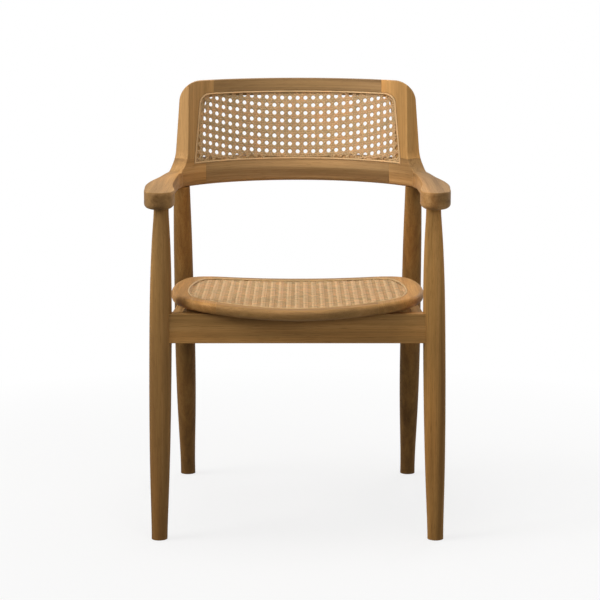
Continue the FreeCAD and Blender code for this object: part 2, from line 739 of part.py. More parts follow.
seat_back_y = seat_front_y + size("seat_length")
seat_middle_y = (seat_front_y + seat_back_y) / 2
seat_dowels = []
seat_holes = []
seat_joint_x = size("seat_joint_half_spread")
member_middle = seat_outline((seat_border + ledge) / 2)
for side_name, side in SIDES:
    for end_name, end_y in (("front", seat_front_y - overrun), ("rear", seat_back_y + overrun)):
        saw_line = Part.makeLine(Vector(side * seat_joint_x, end_y, 0),
                                 Vector(side * seat_joint_x, seat_middle_y, 0))
        crossing = member_middle.distToShape(saw_line)[1][0][0]
        crossed = min(member_middle.Edges, key=lambda edge: edge.distToShape(saw_line)[0])
        along = crossed.tangentAt(crossed.Curve.parameter(crossing))
        ends = [crossing + along * step for step in (-size("dowel_length") / 2, size("dowel_length") / 2)]
        low, high = (Vector(point.x, point.y, seat_surface_height(point.x, point.y, seat_thickness / 2))
                     for point in ends)
        rod, hole = dowel(f"seat_dowel_{end_name}_{side_name}", "dowel_diameter",
                          (low + high) / 2, high - low)
        seat_dowels.append(rod)
        seat_holes.append(hole)
node("seat_frame_dowels", group("seat_frame_dowels", seat_dowels))

# Rails between the legs. Each is a board with a thinner tenon at both ends;
# the same two boxes, a gap larger, cut the socket in the leg.

leg_ends = {}
half_front_foot, half_front_neck = size("front_foot_spread") / 2, size("front_neck_spread") / 2
half_rear_foot, half_rear_neck = size("rear_foot_spread") / 2, size("rear_neck_spread") / 2
front_leg_y = size("front_leg_setback") - size("overall_depth") / 2
rear_neck_y = bow_centre_y + math.sqrt(bow_middle_radius ** 2 - half_rear_neck ** 2)
rear_foot_y = (size("overall_depth") - size("rear_foot_diameter")) / 2
for side_name, side in SIDES:
    leg_ends[f"front_leg_{side_name}"] = (Vector(side * half_front_foot, front_leg_y, 0),
                                          Vector(side * half_front_neck, front_leg_y, arm_underside))
    leg_ends[f"rear_leg_{side_name}"] = (Vector(side * half_rear_foot, rear_foot_y, 0),
                                         Vector(side * half_rear_neck, rear_neck_y, arm_underside))


def leg_axis(name, height):
    """Middle of a leg at a height."""
    foot, neck = leg_ends[name]
    return foot + (neck - foot) * (height / arm_underside)


def board(name, start, end, kind, back, margin):
    """A rail from one leg's axis to the other's, with its tenons, grown by a margin."""
    bottom, height, thickness = (size(f"{kind}_bottom_height"), size(f"{kind}_height"),
                                 size(f"{kind}_thickness"))
    run = (end - start).Length
    shoulder = size("rail_shoulder")
    tenon_end = shoulder - size("rail_tenon_length")
    inset = size("rail_tenon_inset")
    grown = f" + {2 * margin}" if margin else ""
    parts = []
    for part_name, cut_back, wide, low, tall in (
            ("board", shoulder, thickness, bottom, height),
            ("tenon", tenon_end, size("rail_tenon_thickness"), bottom + inset, height - 2 * inset)):
        piece = doc.addObject("Part::Box", f"{name}_{part_name}")
        if part_name == "board":
            bind(piece, {"Width": f"sizes.{kind}_thickness + {2 * margin}",
                         "Height": f"sizes.{kind}_height + {2 * margin}"})
        else:
            bind(piece, {"Width": f"sizes.rail_tenon_thickness + {2 * margin}",
                         "Height": f"sizes.{kind}_height - 2 * sizes.rail_tenon_inset + {2 * margin}"})
        piece.Length = run - 2 * cut_back + 2 * margin
        turn = Rotation(Vector(1, 0, 0), end - start)
        corner = Vector(cut_back - margin, back - wide / 2 - margin, 0)
        place = start + turn.multVec(corner)
        piece.Placement = Placement(Vector(place.x, place.y, low - margin), turn)
        parts.append(piece)
    return fuse(name, parts)


rail_plan = {
    "front_apron": ("apron", "front_leg_left", "front_leg_right", 0),
    "rear_rail": ("rear_rail", "rear_leg_left", "rear_leg_right", -size("rear_rail_ahead_of_leg")),
    "side_rail_left": ("side_rail", "front_leg_left", "rear_leg_left", 0),
    "side_rail_right": ("side_rail", "front_leg_right", "rear_leg_right", 0),
}
boards = {}
sockets = {name: [] for name in leg_ends}
for name, (kind, first, last, back) in rail_plan.items():
    middle = size(f"{kind}_bottom_height") + size(f"{kind}_height") / 2
    ends = [Vector(leg_axis(leg, middle).x, leg_axis(leg, middle).y, 0) for leg in (first, last)]
    boards[name] = board(f"{name}_blank", ends[0], ends[1], kind, back, 0)
    socket = board(f"{name}_socket", ends[0], ends[1], kind, back, size("joint_gap"))
    sockets[first].append(socket)
    sockets[last].append(socket)

# The seat rests on the apron and the rear rail, whose tops are hollowed to its underside.

hollow = shaped("seat_hollow", dish_rod(seat_thickness + gap))

# Four blocks behind the rails: two screws each into the rail, one up into the seat.

blocks = []
block_holes = []
seat_screws = []
seat_screw_holes = []
block_screws = []
rail_screw_holes = {"front_apron": [], "rear_rail": []}
head_gap = size("joint_gap")


def screw(name, kind, shank_length, head_place, way):
    """A round-headed pin standing for a screw, and its clearance hole."""
    made = []
    for suffix, grow in (("", 0), ("_hole", head_gap)):
        turn = Rotation(Vector(0, 0, 1), way)
        shank = bind(doc.addObject("Part::Cylinder", f"{name}_shank{suffix}"),
                     {"Radius": f"sizes.{kind}_screw_diameter / 2 + {grow}"})
        shank.Height = shank_length + grow
        shank.Placement = Placement(head_place, turn)
        head = bind(doc.addObject("Part::Cylinder", f"{name}_head{suffix}"),
                    {"Radius": f"sizes.{kind}_screw_head_diameter / 2 + {grow}",
                     "Height": f"sizes.{kind}_screw_head_height + {2 * grow}"})
        head.Placement = Placement(head_place - way * grow, turn)
        made.append(fuse(f"{name}{suffix}", [shank, head]))
    return made


for end_name, rail, toward in (("front", "front_apron", -1), ("rear", "rear_rail", 1)):
    rail_kind = rail_plan[rail][0]
    rail_y = front_leg_y if end_name == "front" else leg_axis(
        "rear_leg_left", size("rear_rail_bottom_height") + size("rear_rail_height") / 2).y - size(
        "rear_rail_ahead_of_leg")
    face_y = rail_y - toward * size(f"{rail_kind}_thickness") / 2
    for side_name, side in SIDES:
        label = f"block_{end_name}_{side_name}"
        middle_x = side * size(f"{end_name}_block_half_spread")
        middle_y = face_y - toward * size("block_depth") / 2
        top = seat_surface_height(middle_x, middle_y, seat_thickness)
        bottom = top - size("block_height")
        blank = box(f"{label}_blank", {"Length": "sizes.block_length", "Width": "sizes.block_depth",
                                       "Height": "sizes.block_height + sizes.overrun"})
        blank.Placement.Base = Vector(middle_x - size("block_length") / 2,
                                      min(face_y, face_y - toward * size("block_depth")), bottom)
        rise = size("block_height") + size("seat_screw_bite")
        up, up_hole = screw(f"seat_screw_{end_name}_{side_name}", "seat", rise,
                            Vector(middle_x, middle_y, bottom), Vector(0, 0, 1))
        seat_screws.append(up)
        seat_screw_holes.append(up_hole)
        own_holes = [up_hole]
        for count, offset in enumerate((-1, 1), start=1):
            head_place = Vector(middle_x + offset * size("block_length") / 4,
                                face_y - toward * size("block_depth"),
                                bottom + size("block_height") / 2 + offset * size("block_height") / 8)
            reach = size("block_depth") + size("block_screw_bite")
            pin, pin_hole = screw(f"block_screw_{end_name}_{side_name}_{count}", "block", reach, head_place,
                                  Vector(0, toward, 0))
            block_screws.append(pin)
            own_holes.append(pin_hole)
            rail_screw_holes[rail].append(pin_hole)
        blocks.append(cut(label, blank, fuse(f"{label}_cuts", [hollow] + own_holes)))
node("fixing_blocks", group("fixing_blocks", blocks))
node("block_screws", group("block_screws", block_screws))
node("seat_screws", group("seat_screws", seat_screws))

node("front_apron", cut("front_apron", boards["front_apron"],
                        fuse("front_apron_cuts", [hollow] + rail_screw_holes["front_apron"])))
node("rear_rail", cut("rear_rail", boards["rear_rail"],
                      fuse("rear_rail_cuts", [hollow] + rail_screw_holes["rear_rail"])))
for side_name, side in SIDES:
    node(f"side_rail_{side_name}", boards[f"side_rail_{side_name}"])

# The seat's members, its cane sheet and its spline.

drilled_seat = cut("drilled_seat", seat_ring, fuse("seat_bores", seat_holes + seat_screw_holes))
SEAT_REACH = "sizes.overall_width"
seat_zones = {}
for end_name, base in (("front", f"{seat_middle_y} - {SEAT_REACH}"), ("rear", f"{seat_middle_y}")):
    zone = box(f"seat_{end_name}_zone", {
        "Length": "2 * sizes.seat_joint_half_spread", "Width": SEAT_REACH, "Height": "sizes.overall_height",
        "Placement.Base.x": "-sizes.seat_joint_half_spread", "Placement.Base.y": base})
    node(f"seat_{end_name}_member", common(f"seat_{end_name}_member", drilled_seat, zone))
for side_name, side in SIDES:
    offset = "" if side > 0 else f" - {SEAT_REACH}"
    zone = box(f"seat_side_zone_{side_name}", {
        "Length": SEAT_REACH, "Width": f"2 * {SEAT_REACH}", "Height": "sizes.overall_height",
        "Placement.Base.x": f"{side} * sizes.seat_joint_half_spread{offset}",
        "Placement.Base.y": f"-{SEAT_REACH}"})
    node(f"seat_side_{side_name}", common(f"seat_side_{side_name}", drilled_seat, zone))

recess_depth = size("cane_recess_depth")
cane_front_depth = recess_depth - size("cane_thickness")
seat_sheet = dish_rod(recess_depth - gap).cut(dish_rod(cane_front_depth - gap))


def seat_cane_openings():
    """Square openings in a plain grid, each for four holes of the webbing, drawn on the floor."""
    pitch = size("seat_opening_pitch")
    width = size("seat_opening_width")
    field = Part.Face(seat_outline(seat_border + spline_width + gap))
    openings = []
    for column in range(-OPENINGS_EACH_SIDE, OPENINGS_EACH_SIDE):
        for row in range(-OPENINGS_EACH_SIDE, OPENINGS_EACH_SIDE):
            corner = Vector((column + 0.5) * pitch - width / 2,
                            seat_middle_y + (row + 0.5) * pitch - width / 2, 0)
            opening = Part.makePlane(width, width, corner)
            if all(field.isInside(vertex.Point, gap, True) for vertex in opening.Vertexes):
                openings.append(opening)
    return Part.makeCompound(openings)


OPENINGS_EACH_SIDE = 6
open_plan = Part.Face(seat_outline(seat_border + gap)).cut(seat_cane_openings())
node("seat_cane", shaped("seat_cane", raised(open_plan).common(seat_sheet)))
seat_spline_ring = seat_prism(seat_border + gap).cut(seat_prism(seat_border + spline_width))
seat_spline_shell = dish_rod(cane_front_depth - 2 * gap).cut(dish_rod(-size("spline_rise")))
node("seat_spline", shaped("seat_spline", seat_spline_ring.common(seat_spline_shell)))

# Glides under the feet, each a low disc with a nail, and the finished legs.

glides = []
for name, (foot, neck) in leg_ends.items():
    pair = []
    for suffix, grow in (("", 0), ("_seat", head_gap)):
        disc = bind(doc.addObject("Part::Cylinder", f"{name}_glide_disc{suffix}"),
                    {"Radius": f"sizes.glide_diameter / 2 + {grow}",
                     "Height": f"sizes.glide_thickness + {grow}"})
        disc.Placement.Base = foot
        nail = bind(doc.addObject("Part::Cylinder", f"{name}_glide_nail{suffix}"),
                    {"Radius": f"sizes.glide_nail_diameter / 2 + {grow}",
                     "Height": f"sizes.glide_thickness + sizes.glide_nail_length + {grow}"})
        nail.Placement.Base = foot
        pair.append(fuse(f"{name}_glide{suffix}", [disc, nail]))
    glides.append(pair[0])
    node(name, cut(name, blanks[name], fuse(f"{name}_cuts", sockets[name] + [pair[1]])))
node("foot_glides", group("foot_glides", glides))

doc.recompute()

for thing in doc.Objects:
    if "Invalid" in thing.State or "Error" in thing.State:
        raise RuntimeError(f"{thing.Name} did not build")

for name, thing in nodes.items():
    shape = thing.Shape
    if shape.isNull() or not shape.isValid() or not shape.Solids:
        raise RuntimeError(f"{name} has no valid solid")
    shape.exportStep(f"parts/{name}.step")
    print(name, "solids", len(shape.Solids), "volume", round(shape.Volume),
          "box", [round(v, 1) for v in (shape.BoundBox.XMin, shape.BoundBox.XMax, shape.BoundBox.YMin,
                                        shape.BoundBox.YMax, shape.BoundBox.ZMin, shape.BoundBox.ZMax)])
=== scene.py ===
"""Cane armchair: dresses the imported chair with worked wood, woven cane and a plain studio."""

import math

import bmesh
import bpy
from bpy.props import FloatProperty, FloatVectorProperty, PointerProperty
from mathutils import Matrix, Vector


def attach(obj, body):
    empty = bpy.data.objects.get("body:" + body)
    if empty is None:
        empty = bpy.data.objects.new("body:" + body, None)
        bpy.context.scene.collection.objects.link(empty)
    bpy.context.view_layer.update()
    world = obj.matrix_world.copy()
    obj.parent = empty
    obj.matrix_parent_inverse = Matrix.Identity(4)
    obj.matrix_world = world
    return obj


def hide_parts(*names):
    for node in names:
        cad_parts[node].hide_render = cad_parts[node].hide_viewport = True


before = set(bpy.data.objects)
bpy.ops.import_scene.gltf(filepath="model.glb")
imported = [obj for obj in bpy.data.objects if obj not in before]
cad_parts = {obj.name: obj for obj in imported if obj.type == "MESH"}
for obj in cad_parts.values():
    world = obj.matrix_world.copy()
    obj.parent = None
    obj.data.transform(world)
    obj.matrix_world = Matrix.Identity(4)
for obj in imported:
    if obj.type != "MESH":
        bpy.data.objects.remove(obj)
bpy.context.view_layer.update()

bl_info = {
    "name": "Cane armchair",
    "version": (1, 0, 0),
    "blender": (4, 5, 0),
    "location": "View3D > Sidebar > Chair",
    "description": "Builds the finish, the woven cane and the studio of a wooden armchair",
    "category": "Object",
}

ROOT = "root"


class WoodSettings(bpy.types.PropertyGroup):
    """The oiled hardwood of the frame."""

    light: FloatVectorProperty(
        name="Light grain", description="Palest streaks of the wood", subtype="COLOR",
        default=(0.600, 0.360, 0.150), min=0, max=1)
    middle: FloatVectorProperty(
        name="Body", description="Main colour of the wood", subtype="COLOR",
        default=(0.450, 0.250, 0.092), min=0, max=1)
    dark: FloatVectorProperty(
        name="Dark grain", description="Darkest streaks of the wood", subtype="COLOR",
        default=(0.270, 0.138, 0.046), min=0, max=1)
    easing: FloatProperty(
        name="Easing", description="Radius that sanding leaves on the frame's edges", unit="LENGTH",
        default=0.0016, min=0.0002, max=0.004)


class CaneSettings(bpy.types.PropertyGroup):
    """The six-way cane webbing."""

    pitch: FloatProperty(
        name="Pitch", description="Distance from one hole to the next", unit="LENGTH",
        default=0.016, min=0.008, max=0.03)
    strand_width: FloatProperty(
        name="Strand width", description="Width of one strand of a pair", unit="LENGTH",
        default=0.0038, min=0.001, max=0.005)
    slant_width: FloatProperty(
        name="Slanting strand width", description="Width of a strand that runs at a slant",
        unit="LENGTH", default=0.0034, min=0.001, max=0.005)
    thickness: FloatProperty(
        name="Strand thickness", description="Thickness of a strand", unit="LENGTH",
        default=0.0008, min=0.0003, max=0.002)
    pair_gap: FloatProperty(
        name="Pair gap", description="Distance between the middles of two paired strands",
        unit="LENGTH", default=0.0041, min=0.001, max=0.008)
    colour: FloatVectorProperty(
        name="Cane", description="Main colour of the cane", subtype="COLOR",
        default=(0.740, 0.490, 0.235), min=0, max=1)


class StageSettings(bpy.types.PropertyGroup):
    """Camera, lights and floor."""

    lens: FloatProperty(
        name="Lens", description="Focal length of the camera", default=120.84, min=20, max=400)
    distance: FloatProperty(
        name="Distance", description="How far in front of the chair the camera stands",
        unit="LENGTH", default=3.9087, min=1, max=10)
    height: FloatProperty(
        name="Height", description="Height of the camera over the floor", unit="LENGTH",
        default=1.1027, min=0, max=3)
    aside: FloatProperty(
        name="Aside", description="How far the camera stands to the right", unit="LENGTH",
        default=0.0048, min=-1, max=1)
    tilt: FloatProperty(
        name="Tilt", description="Angle of the camera below the horizon", subtype="ANGLE",
        default=0.1721, min=-1.5, max=1.5)
    roll: FloatProperty(
        name="Roll", description="Turn of the camera about its own line of sight", subtype="ANGLE",
        default=0.0, min=-0.5, max=0.5)
    floor_colour: FloatVectorProperty(
        name="Floor", description="Colour of the floor", subtype="COLOR",
        default=(0.24, 0.24, 0.24), min=0, max=1)


# Shader nodes


def new_material(name):
    """An empty material with a Principled shader, and its node helpers."""
    material = bpy.data.materials.new(name)
    material.use_nodes = True
    nodes = material.node_tree.nodes
    links = material.node_tree.links
    return material, nodes, links, nodes["Principled BSDF"]


def feed(links, socket, value):
    """Links another socket into a socket, or sets a number, direction or colour there."""
    if isinstance(value, bpy.types.NodeSocket):
        links.new(value, socket)
    else:
        socket.default_value = value


def noise(nodes, links, vector, scale, detail=3.0, roughness=0.55, distortion=0.0):
    """A noise texture on a vector; returns its factor."""
    texture = nodes.new("ShaderNodeTexNoise")
    texture.inputs["Scale"].default_value = scale
    texture.inputs["Detail"].default_value = detail
    texture.inputs["Roughness"].default_value = roughness
    texture.inputs["Distortion"].default_value = distortion
    links.new(vector, texture.inputs["Vector"])
    return texture.outputs["Fac"]


def ramp(nodes, links, factor, stops):
    """A colour ramp over a factor, from (position, colour) stops."""
    node = nodes.new("ShaderNodeValToRGB")
    elements = node.color_ramp.elements
    while len(elements) < len(stops):
        elements.new(0.5)
    for element, (position, colour) in zip(elements, stops):
        element.position = position
        element.color = (*colour, 1.0)
    links.new(factor, node.inputs["Fac"])
    return node.outputs["Color"]


def blend_colour(nodes, links, kind, factor, first, second):
    """Mixes two colours; the factor is a number or a socket."""
    node = nodes.new("ShaderNodeMix")
    node.data_type = "RGBA"
    node.blend_type = kind
    for index, value in ((0, factor), (6, first), (7, second)):
        feed(links, node.inputs[index], value)
    return node.outputs[2]


def shaded(nodes, links, colour, factor, stops, share=1.0):
    """A colour times a ramp over a factor; the share is how far the ramp counts."""
    shade = ramp(nodes, links, factor, stops)
    return blend_colour(nodes, links, "MULTIPLY", share, colour, shade)


def maths(nodes, links, operation, *values):
    """A math node over numbers or sockets."""
    node = nodes.new("ShaderNodeMath")
    node.operation = operation
    for socket, value in zip(node.inputs, values):
        feed(links, socket, value)
    return node.outputs["Value"]


def dot(nodes, links, first, second):
    """The dot product of two directions, each a socket or fixed."""
    node = nodes.new("ShaderNodeVectorMath")
    node.operation = "DOT_PRODUCT"
    feed(links, node.inputs[0], first)
    feed(links, node.inputs[1], second)
    return node.outputs["Value"]


def map_range(nodes, links, value, source, target):
    """A value carried over from a source range to a target range."""
    node = nodes.new("ShaderNodeMapRange")
    node.inputs["From Min"].default_value, node.inputs["From Max"].default_value = source
    node.inputs["To Min"].default_value, node.inputs["To Max"].default_value = target
    links.new(value, node.inputs["Value"])
    return node.outputs["Result"]


def add_bump(nodes, links, shader, height, strength, distance, normal=None):
    """Fine relief from a height, on top of another normal where one is given."""
    bump = nodes.new("ShaderNodeBump")
    bump.inputs["Strength"].default_value = strength
    bump.inputs["Distance"].default_value = distance
    links.new(height, bump.inputs["Height"])
    if normal is not None:
        links.new(normal, bump.inputs["Normal"])
    links.new(bump.outputs["Normal"], shader.inputs["Normal"])


def looked_at(nodes, links):
    """1 for rays that show a surface to the camera: straight, mirrored or through glass."""
    seen = nodes.new("ShaderNodeLightPath")
    either = maths(nodes, links, "MAXIMUM",
                   seen.outputs["Is Camera Ray"], seen.outputs["Is Glossy Ray"])
    return maths(nodes, links, "MAXIMUM", either, seen.outputs["Is Transmission Ray"])


# Wood

WHITE = (1.0, 1.0, 1.0)

# How much green and blue a wood of warmth 1 loses.
GREEN_LOST, BLUE_LOST = 0.08, 0.32


def scaled(colour, amount):
    """A colour made lighter or darker."""
    return tuple(min(1.0, channel * amount) for channel in colour)


def tinted(colour, tint):
    """A colour with each of its channels made stronger or weaker."""
    return tuple(min(1.0, channel * share) for channel, share in zip(colour, tint))


def oiled(colour, tone, warmth):
    """A wood colour made lighter or darker, and warmer or greyer."""
    red, green, blue = scaled(colour, tone)
    return red, green * (1.0 - GREEN_LOST * warmth), blue * (1.0 - BLUE_LOST * warmth)


# Turns that lay the grain along an axis, and the way in which the end grain then faces.
GRAIN_TURN = {
    "X": (0.0, 0.0, 0.0),
    "Y": (0.0, 0.0, math.radians(-90)),
    "Z": (0.0, math.radians(90), 0.0),
}
END_GRAIN = {
    "X": (1.0, 0.0, 0.0),
    "Y": (0.0, 1.0, 0.0),
    "Z": (0.0, 0.0, 1.0),
    "ARM": (0.0, 1.0, 0.0),
}

# The bent, leaning sheet that the back is sawn from. Its axis stands at BACK_CENTRE_Y where the
# height is FACET_HEIGHT.
LEAN = math.radians(17)
BACK_CENTRE_Y = -0.054
FACET_HEIGHT = 0.664
BOW_RADIUS = 0.27

# Each layer of the wood's figure: how often it repeats in a metre along and across the grain,
# then the detail, roughness and distortion of its noise.
BANDS = (1.1, 14.0, 2.0, 0.5, 0.3)
RINGS = (1.5, 70.0, 3.0, 0.60, 0.25)
FIBRES = (9.0, 480.0, 2.0, 0.6, 0.0)
PORES = (40.0, 1400.0, 1.0, 0.5, 0.0)
SEED_SHIFT = (0.37, 0.19, 0.53)
RING_SHARE, BAND_SHARE = 0.6, 0.4
STILE_CALM = 0.55  # how much of the figure's contrast the stiles keep

# Position, colour of the settings and its share, for each stop of the figure.
FIGURE_STOPS = (
    (0.34, "dark", 1.0), (0.45, "middle", 0.88), (0.54, "middle", 1.08), (0.68, "light", 1.0))
BAND_STOPS = ((0.32, (0.80, 0.83, 0.82)), (0.50, WHITE), (0.68, (1.14, 1.05, 0.95)))
FIBRE_STOPS = ((0.32, (0.80, 0.77, 0.73)), (0.56, WHITE))
PORE_STOPS = ((0.30, (0.45, 0.39, 0.33)), (0.40, WHITE))
END_GRAIN_STOPS = ((0.72, WHITE), (0.97, (0.72, 0.68, 0.62)))
# Paler edges: partly wear, partly a painted highlight along them.
WORN_AND_HIGHLIGHT_STOPS = ((0.86, (1.24, 1.22, 1.20)), (0.975, WHITE))
FIBRE_DEPTH, PORE_DEPTH = 0.7, 0.5
# Painted shade on the legs: towards the floor their colour is darkened and tinted, fading out at
# this height.
FOOT_SHADE_TINT = (1.0, 0.97, 0.90)
FOOT_SHADE_HEIGHT = 0.58
WOOD_ROUGHNESS = (0.70, 0.56)  # of the darkest and of the palest streaks
WOOD_SHEEN = 0.2
EASING_SAMPLES = 6


def bow_coordinates(nodes, links, vector, upright):
    """Coordinates that follow the bent, leaning back and the arms that run on from its ends.

    The first goes along the grain, the other two across it.
    """

    def calc(operation, *values):
        return maths(nodes, links, operation, *values)

    parts = nodes.new("ShaderNodeSeparateXYZ")
    links.new(vector, parts.inputs["Vector"])
    x, y, z = (parts.outputs[axis] for axis in "XYZ")
    slope = math.tan(LEAN)
    ahead = calc("ADD", y, calc("MULTIPLY_ADD", z, -slope, FACET_HEIGHT * slope - BACK_CENTRE_Y))
    bent = calc("MAXIMUM", ahead, 0.0)
    straight = calc("MULTIPLY", calc("MINIMUM", ahead, 0.0), calc("SIGN", x))
    run = calc("SUBTRACT", calc("MULTIPLY", calc("ARCTAN2", x, bent), BOW_RADIUS), straight)
    out = calc("SQRT", calc("ADD", calc("MULTIPLY", x, x), calc("MULTIPLY", bent, bent)))
    joined = nodes.new("ShaderNodeCombineXYZ")
    for socket, value in zip(joined.inputs, (z, run, out) if upright else (run, z, out)):
        links.new(value, socket)
    return joined.outputs["Vector"]


def wood_material(name, grain, seed, tone=1.0, warmth=0.0, foot=1.0):
    """Oiled hardwood with streaks and pores along one direction, and paler edges: a little wear and
    a painted highlight.

    Foot is the share of its lightness that the wood keeps down at the floor, as painted shade.
    """
    wood = bpy.context.scene.chair_wood
    material, nodes, links, shader = new_material(name)
    place = nodes.new("ShaderNodeTexCoord")
    turned = nodes.new("ShaderNodeMapping")
    turned.inputs["Location"].default_value = tuple(seed * shift for shift in SEED_SHIFT)
    source = place.outputs["Object"]
    if grain in GRAIN_TURN:
        turned.inputs["Rotation"].default_value = GRAIN_TURN[grain]
    else:
        source = bow_coordinates(nodes, links, source, grain == "STILE")
    links.new(source, turned.inputs["Vector"])

    def layer(along, across, detail, roughness, distortion):
        """A noise that is drawn out along the grain."""
        node = nodes.new("ShaderNodeMapping")
        node.inputs["Scale"].default_value = (along, across, across)
        links.new(turned.outputs["Vector"], node.inputs["Vector"])
        return noise(nodes, links, node.outputs["Vector"], 1.0, detail, roughness, distortion)

    bands, rings, fibres, pores = (layer(*values) for values in (BANDS, RINGS, FIBRES, PORES))

    figure = maths(nodes, links, "MULTIPLY_ADD", rings, RING_SHARE,
                   maths(nodes, links, "MULTIPLY", bands, BAND_SHARE))
    if grain == "STILE":
        figure = maths(nodes, links, "MULTIPLY_ADD", figure, STILE_CALM, 0.5 - 0.5 * STILE_CALM)
    colour = ramp(nodes, links, figure, [
        (position, oiled(getattr(wood, streak), tone * share, warmth))
        for position, streak, share in FIGURE_STOPS])
    colour = shaded(nodes, links, colour, bands, BAND_STOPS)
    colour = shaded(nodes, links, colour, fibres, FIBRE_STOPS, FIBRE_DEPTH)
    colour = shaded(nodes, links, colour, pores, PORE_STOPS, PORE_DEPTH)

    # Painted shade: the legs darken towards the floor, standing in for the light falling off down
    # them.
    if foot < 1.0:
        height = nodes.new("ShaderNodeSeparateXYZ")
        links.new(place.outputs["Object"], height.inputs["Vector"])
        colour = shaded(nodes, links, colour, height.outputs["Z"], (
            (0.0, scaled(FOOT_SHADE_TINT, foot)), (FOOT_SHADE_HEIGHT, WHITE)))

    if grain in END_GRAIN:
        ends = dot(nodes, links, place.outputs["Normal"], END_GRAIN[grain])
        colour = shaded(nodes, links, colour, maths(nodes, links, "ABSOLUTE", ends),
                        END_GRAIN_STOPS)

    # Edges, found through rounded normals, are painted paler: partly wear, partly a painted
    # highlight.
    rounded = nodes.new("ShaderNodeBevel")
    rounded.samples = EASING_SAMPLES
    rounded.inputs["Radius"].default_value = wood.easing
    flat = nodes.new("ShaderNodeNewGeometry")
    facing = dot(nodes, links, rounded.outputs["Normal"], flat.outputs["Normal"])
    links.new(shaded(nodes, links, colour, facing, WORN_AND_HIGHLIGHT_STOPS), shader.inputs["Base Color"])

    links.new(map_range(nodes, links, figure, (0.0, 1.0), WOOD_ROUGHNESS),
              shader.inputs["Roughness"])
    shader.inputs["Specular IOR Level"].default_value = WOOD_SHEEN

    height = maths(nodes, links, "MULTIPLY_ADD", fibres, FIBRE_DEPTH,
                   maths(nodes, links, "MULTIPLY", pores, PORE_DEPTH))
    add_bump(nodes, links, shader, height, 0.2, 0.0004, rounded.outputs["Normal"])
    return material


# Cane, metal and plastic

# How the middle strands differ from the cane's main colour.
COOL_STRAND, WARM_STRAND = (1.0, 1.02, 1.04), (1.10, 0.98, 0.97)
PATCH_STOPS = ((0.30, (0.84, 0.86, 0.84)), (0.50, WHITE), (0.70, (1.12, 1.03, 0.96)))
STREAK_STOPS = ((0.30, (0.76, 0.70, 0.62)), (0.55, WHITE))
STREAK_DEPTH = 0.7
CANE_SHEEN = 0.28

# Share of the cane's main colour, how far single strands stray from it, and roughness.
BACK_CANE_LOOK = (0.70, 0.14, 0.52)
SEAT_CANE_LOOK = (0.90, 0.16, 0.52)
BACK_REED_LOOK = (0.84, 0.05, 0.55)
SEAT_REED_LOOK = (0.88, 0.05, 0.6)

ZINC_STOPS = ((0.35, (0.50, 0.50, 0.48)), (0.65, (0.66, 0.66, 0.64)))
NYLON_STOPS = ((0.3, (0.030, 0.028, 0.026)), (0.7, (0.050, 0.047, 0.044)))


def cane_material(name, look):
    """Split cane: a glossy skin whose colour shifts from strand to strand and along each."""
    share, spread, roughness = look
    colour = scaled(bpy.context.scene.chair_cane.colour, share)
    material, nodes, links, shader = new_material(name)
    strand = nodes.new("ShaderNodeUVMap")
    strand.uv_map = "strand"
    geometry = nodes.new("ShaderNodeNewGeometry")
    place = nodes.new("ShaderNodeTexCoord")
    tone = ramp(nodes, links, geometry.outputs["Random Per Island"], (
        (0.0, scaled(colour, 1.0 - spread)), (0.35, tinted(colour, COOL_STRAND)),
        (0.70, tinted(colour, WARM_STRAND)), (1.0, scaled(colour, 1.0 + spread))))
    patches = noise(nodes, links, place.outputs["Object"], 45.0, 3.0, 0.6)
    tone = shaded(nodes, links, tone, patches, PATCH_STOPS)
    drawn = nodes.new("ShaderNodeMapping")
    drawn.inputs["Scale"].default_value = (30.0, 9.0, 1.0)
    links.new(strand.outputs["UV"], drawn.inputs["Vector"])
    streaks = noise(nodes, links, drawn.outputs["Vector"], 1.0, 2.0, 0.6)
    tone = shaded(nodes, links, tone, streaks, STREAK_STOPS, STREAK_DEPTH)
    links.new(tone, shader.inputs["Base Color"])
    shader.inputs["Roughness"].default_value = roughness
    shader.inputs["Specular IOR Level"].default_value = CANE_SHEEN
    add_bump(nodes, links, shader, streaks, 0.15, 0.0002)
    return material


def metal_material(name):
    """Zinc plated steel, faintly mottled."""
    material, nodes, links, shader = new_material(name)
    place = nodes.new("ShaderNodeTexCoord")
    mottle = noise(nodes, links, place.outputs["Object"], 700.0, 2.0)
    links.new(ramp(nodes, links, mottle, ZINC_STOPS), shader.inputs["Base Color"])
    shader.inputs["Metallic"].default_value = 1.0
    shader.inputs["Roughness"].default_value = 0.38
    return material


def plastic_material(name):
    """Moulded nylon with a fine grain."""
    material, nodes, links, shader = new_material(name)
    place = nodes.new("ShaderNodeTexCoord")
    grain = noise(nodes, links, place.outputs["Object"], 1800.0, 2.0)
    links.new(ramp(nodes, links, grain, NYLON_STOPS), shader.inputs["Base Color"])
    shader.inputs["Roughness"].default_value = 0.55
    add_bump(nodes, links, shader, grain, 0.2, 0.0002)
    return material


# Pieces


def add_object(name, mesh, material, replaced):
    """Links a finished mesh as a piece that rides with the chair."""
    thing = bpy.data.objects.new(name, mesh)
    bpy.context.scene.collection.objects.link(thing)
    mesh.materials.clear()
    mesh.materials.append(material)
    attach(thing, ROOT)
    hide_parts(replaced)


def finish_cad(node, material):
    """Gives a CAD piece its finish and leaves its shape as it is."""
    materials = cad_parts[node].data.materials
    materials.clear()
    materials.append(material)


def finish_wood(pieces, first_seed):
    """Gives each wooden piece of a table a finish of its own."""
    for seed, (node, grain, *look) in enumerate(pieces, start=first_seed):
        finish_cad(node, wood_material(f"wood_{node}", grain, seed, *look))
